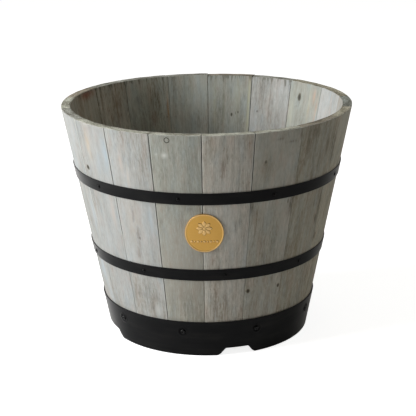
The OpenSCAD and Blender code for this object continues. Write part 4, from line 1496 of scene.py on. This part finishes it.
# The back is one more ring under the rim and a last point in its middle, flat on the staves.
all_u = np.concatenate([u, u[-PLAQUE_STEPS:], [0]])
all_v = np.concatenate([v, v[-PLAQUE_STEPS:], [0]])
front_out = STRIP_CLEARANCE + PLAQUE_THICKNESS + here
all_out = np.concatenate([front_out, np.full(PLAQUE_STEPS + 1, STRIP_CLEARANCE)])
all_relief = np.concatenate([relief, np.zeros((PLAQUE_STEPS + 1, 3))])
levels = PLAQUE_LEVEL + all_v * math.cos(LEAN)
turns = PLAQUE_AZIMUTH + np.degrees(np.arcsin(all_u / outer_radius(levels)))
plaque_faces = ring_faces(len(ring_shares) + 1, PLAQUE_STEPS)
plaque = make_piece("plaque_brass", on_wall(turns, levels, all_out), plaque_faces, [brass_material],
                    attributes={"along": np.stack([all_u, all_v, all_out], axis=1),
                                "relief": all_relief})
stands_for(plaque, "plaque")
print("plaque faces:", len(plaque_faces))

# %% [markdown]
# ## The air of the studio
#
# The world is dim for the light that it gives, but white for what looks straight at it. Black steel and
# brass mirror a white studio too: the sweep behind the tub and the window side are white, and the room in
# front and on the right is darker. The ray's own direction tells which is which.

# %% Air of the studio
DIM_STRENGTH = 0.148
DARK_SIDE = 0.05
BRIGHT_WAY = (-0.32, 0.947, 0.0)
scene = bpy.context.scene
scene.view_settings.view_transform = "Standard"
world = bpy.data.worlds.new("studio_air")
scene.world = world
world.use_nodes = True
world.node_tree.nodes.clear()
add = functools.partial(add_node, world.node_tree)
path = add("LightPath")
seen = add("Math", {0: path.outputs["Is Camera Ray"], 1: path.outputs["Is Transmission Ray"]},
           operation="MAXIMUM")
direction = add("TexCoord").outputs["Generated"]
to_window = add("VectorMath", {0: direction, 1: BRIGHT_WAY}, operation="DOT_PRODUCT")
mirrored = add("MapRange", {"Value": to_window.outputs["Value"], "From Min": -0.15, "From Max": 0.85,
                            "To Min": DARK_SIDE, "To Max": 1.0})
dim = add("Background", {"Color": (1.0, 0.98, 0.88, 1.0), "Strength": DIM_STRENGTH})
studio = add("Background", {"Color": (1.0, 1.0, 1.0, 1.0), "Strength": mirrored})
white = add("Background", {"Color": (1.0, 1.0, 1.0, 1.0), "Strength": 1.0})
air = add("MixShader", {0: path.outputs["Is Glossy Ray"], 1: dim, 2: studio})
air = add("MixShader", {0: seen, 1: air, 2: white})
add("OutputWorld", {"Surface": air})

# %% [markdown]
# ## Lamps
#
# The tub was lit by one large soft window-like source from the left, a little above, with little fill. So
# the scene has one large square lamp there and one weak lamp far right, which keeps the right-hand rim from
# going black. Both are aimed at the middle of the tub.

# %% Lamps
def soft_box(name, azimuth, elevation, distance, size, watts, colour):
    """A square lamp in metres and watts, aimed at the tub's middle from an azimuth and an elevation."""
    data = bpy.data.lights.new(name, "AREA")
    data.shape = "SQUARE"
    data.size = size
    data.energy = watts
    data.color = colour
    lamp = bpy.data.objects.new(name, data)
    a, e = math.radians(azimuth), math.radians(elevation)
    back = np.array([math.sin(a) * math.cos(e), -math.cos(a) * math.cos(e), math.sin(e)])
    side = np.cross([0, 0, 1.0], back)
    side /= np.linalg.norm(side)
    pose = np.eye(4)
    pose[:3, 0], pose[:3, 1], pose[:3, 2] = side, np.cross(back, side), back
    pose[:3, 3] = back * distance + [0, 0, TUB_HEIGHT * MM / 2]
    lamp.matrix_world = pose.T.tolist()
    scene.collection.objects.link(lamp)


soft_box("key_light", -72, 24, 2.8, 1.5, 95, (0.97, 0.985, 1.0))
soft_box("far_right_light", 110, 20, 2.8, 1.2, 9, (1.0, 0.98, 0.95))
print("lamps:", len(bpy.data.lights))

# %% [markdown]
# ## Floor
#
# The floor is pale and wide. A pale floor in a shadow still comes out grey, so to the camera and in mirrors
# it also glows a little. That lifts it to white and still leaves the tub's soft shadow. Under the tub the
# glow fades out, except where a notch lets light in, so that the drain gaps look down into the dark.

# %% Floor
FLOOR_REACH = 14000.0
FLOOR_GLOW = 0.84
# In metres: where the glow starts and is full, from the tub's axis, and where it ends, from a notch.
GLOW_START, GLOW_FULL = 0.135, 0.155
NOTCH_GLOW_FULL, NOTCH_GLOW_END = 0.060, 0.085
floor_material, add = new_material("pale_studio_floor")
pale = add("BsdfDiffuse", {"Color": (0.80, 0.80, 0.80, 1.0)})
floor_path = add("LightPath")
on_floor = add("TexCoord").outputs["Object"]
metres_back = add("VectorMath", {0: on_floor, 1: BRIGHT_WAY}, operation="DOT_PRODUCT")
mirrored = add("MapRange", {"Value": metres_back.outputs["Value"], "From Min": -0.1, "From Max": 0.9,
                            "To Min": DARK_SIDE, "To Max": FLOOR_GLOW})
mirrored = add("Math", {0: mirrored, 1: floor_path.outputs["Is Glossy Ray"]}, operation="MULTIPLY")
from_middle = add("VectorMath", {0: on_floor}, operation="LENGTH").outputs["Value"]
open_floor = add("MapRange", {"Value": from_middle, "From Min": GLOW_START, "From Max": GLOW_FULL})
for turn in np.radians(NOTCH_AZIMUTHS):
    notch = (FOOT_RADIUS * MM * math.sin(turn), -FOOT_RADIUS * MM * math.cos(turn), 0.0)
    from_notch = add("VectorMath", {0: on_floor, 1: notch}, operation="DISTANCE").outputs["Value"]
    at_notch = add("MapRange", {"Value": from_notch, "From Min": NOTCH_GLOW_END, "From Max": NOTCH_GLOW_FULL})
    open_floor = add("Math", {0: open_floor, 1: at_notch}, operation="MAXIMUM")
seen_glow = add("Math", {0: open_floor, 1: FLOOR_GLOW}, operation="MULTIPLY")
lift = add("Math", {0: floor_path.outputs["Is Camera Ray"], 1: seen_glow, 2: mirrored},
           operation="MULTIPLY_ADD")
glow = add("Emission", {"Color": (1.0, 1.0, 1.0, 1.0), "Strength": lift})
both = add("AddShader", {0: pale, 1: glow})
add("OutputMaterial", {"Surface": both})
corners = FLOOR_REACH * np.array([[-1, -1, 0], [1, -1, 0], [1, 1, 0], [-1, 1, 0]])
floor = make_piece("studio_floor", corners, [[0, 1, 2, 3]], [floor_material])
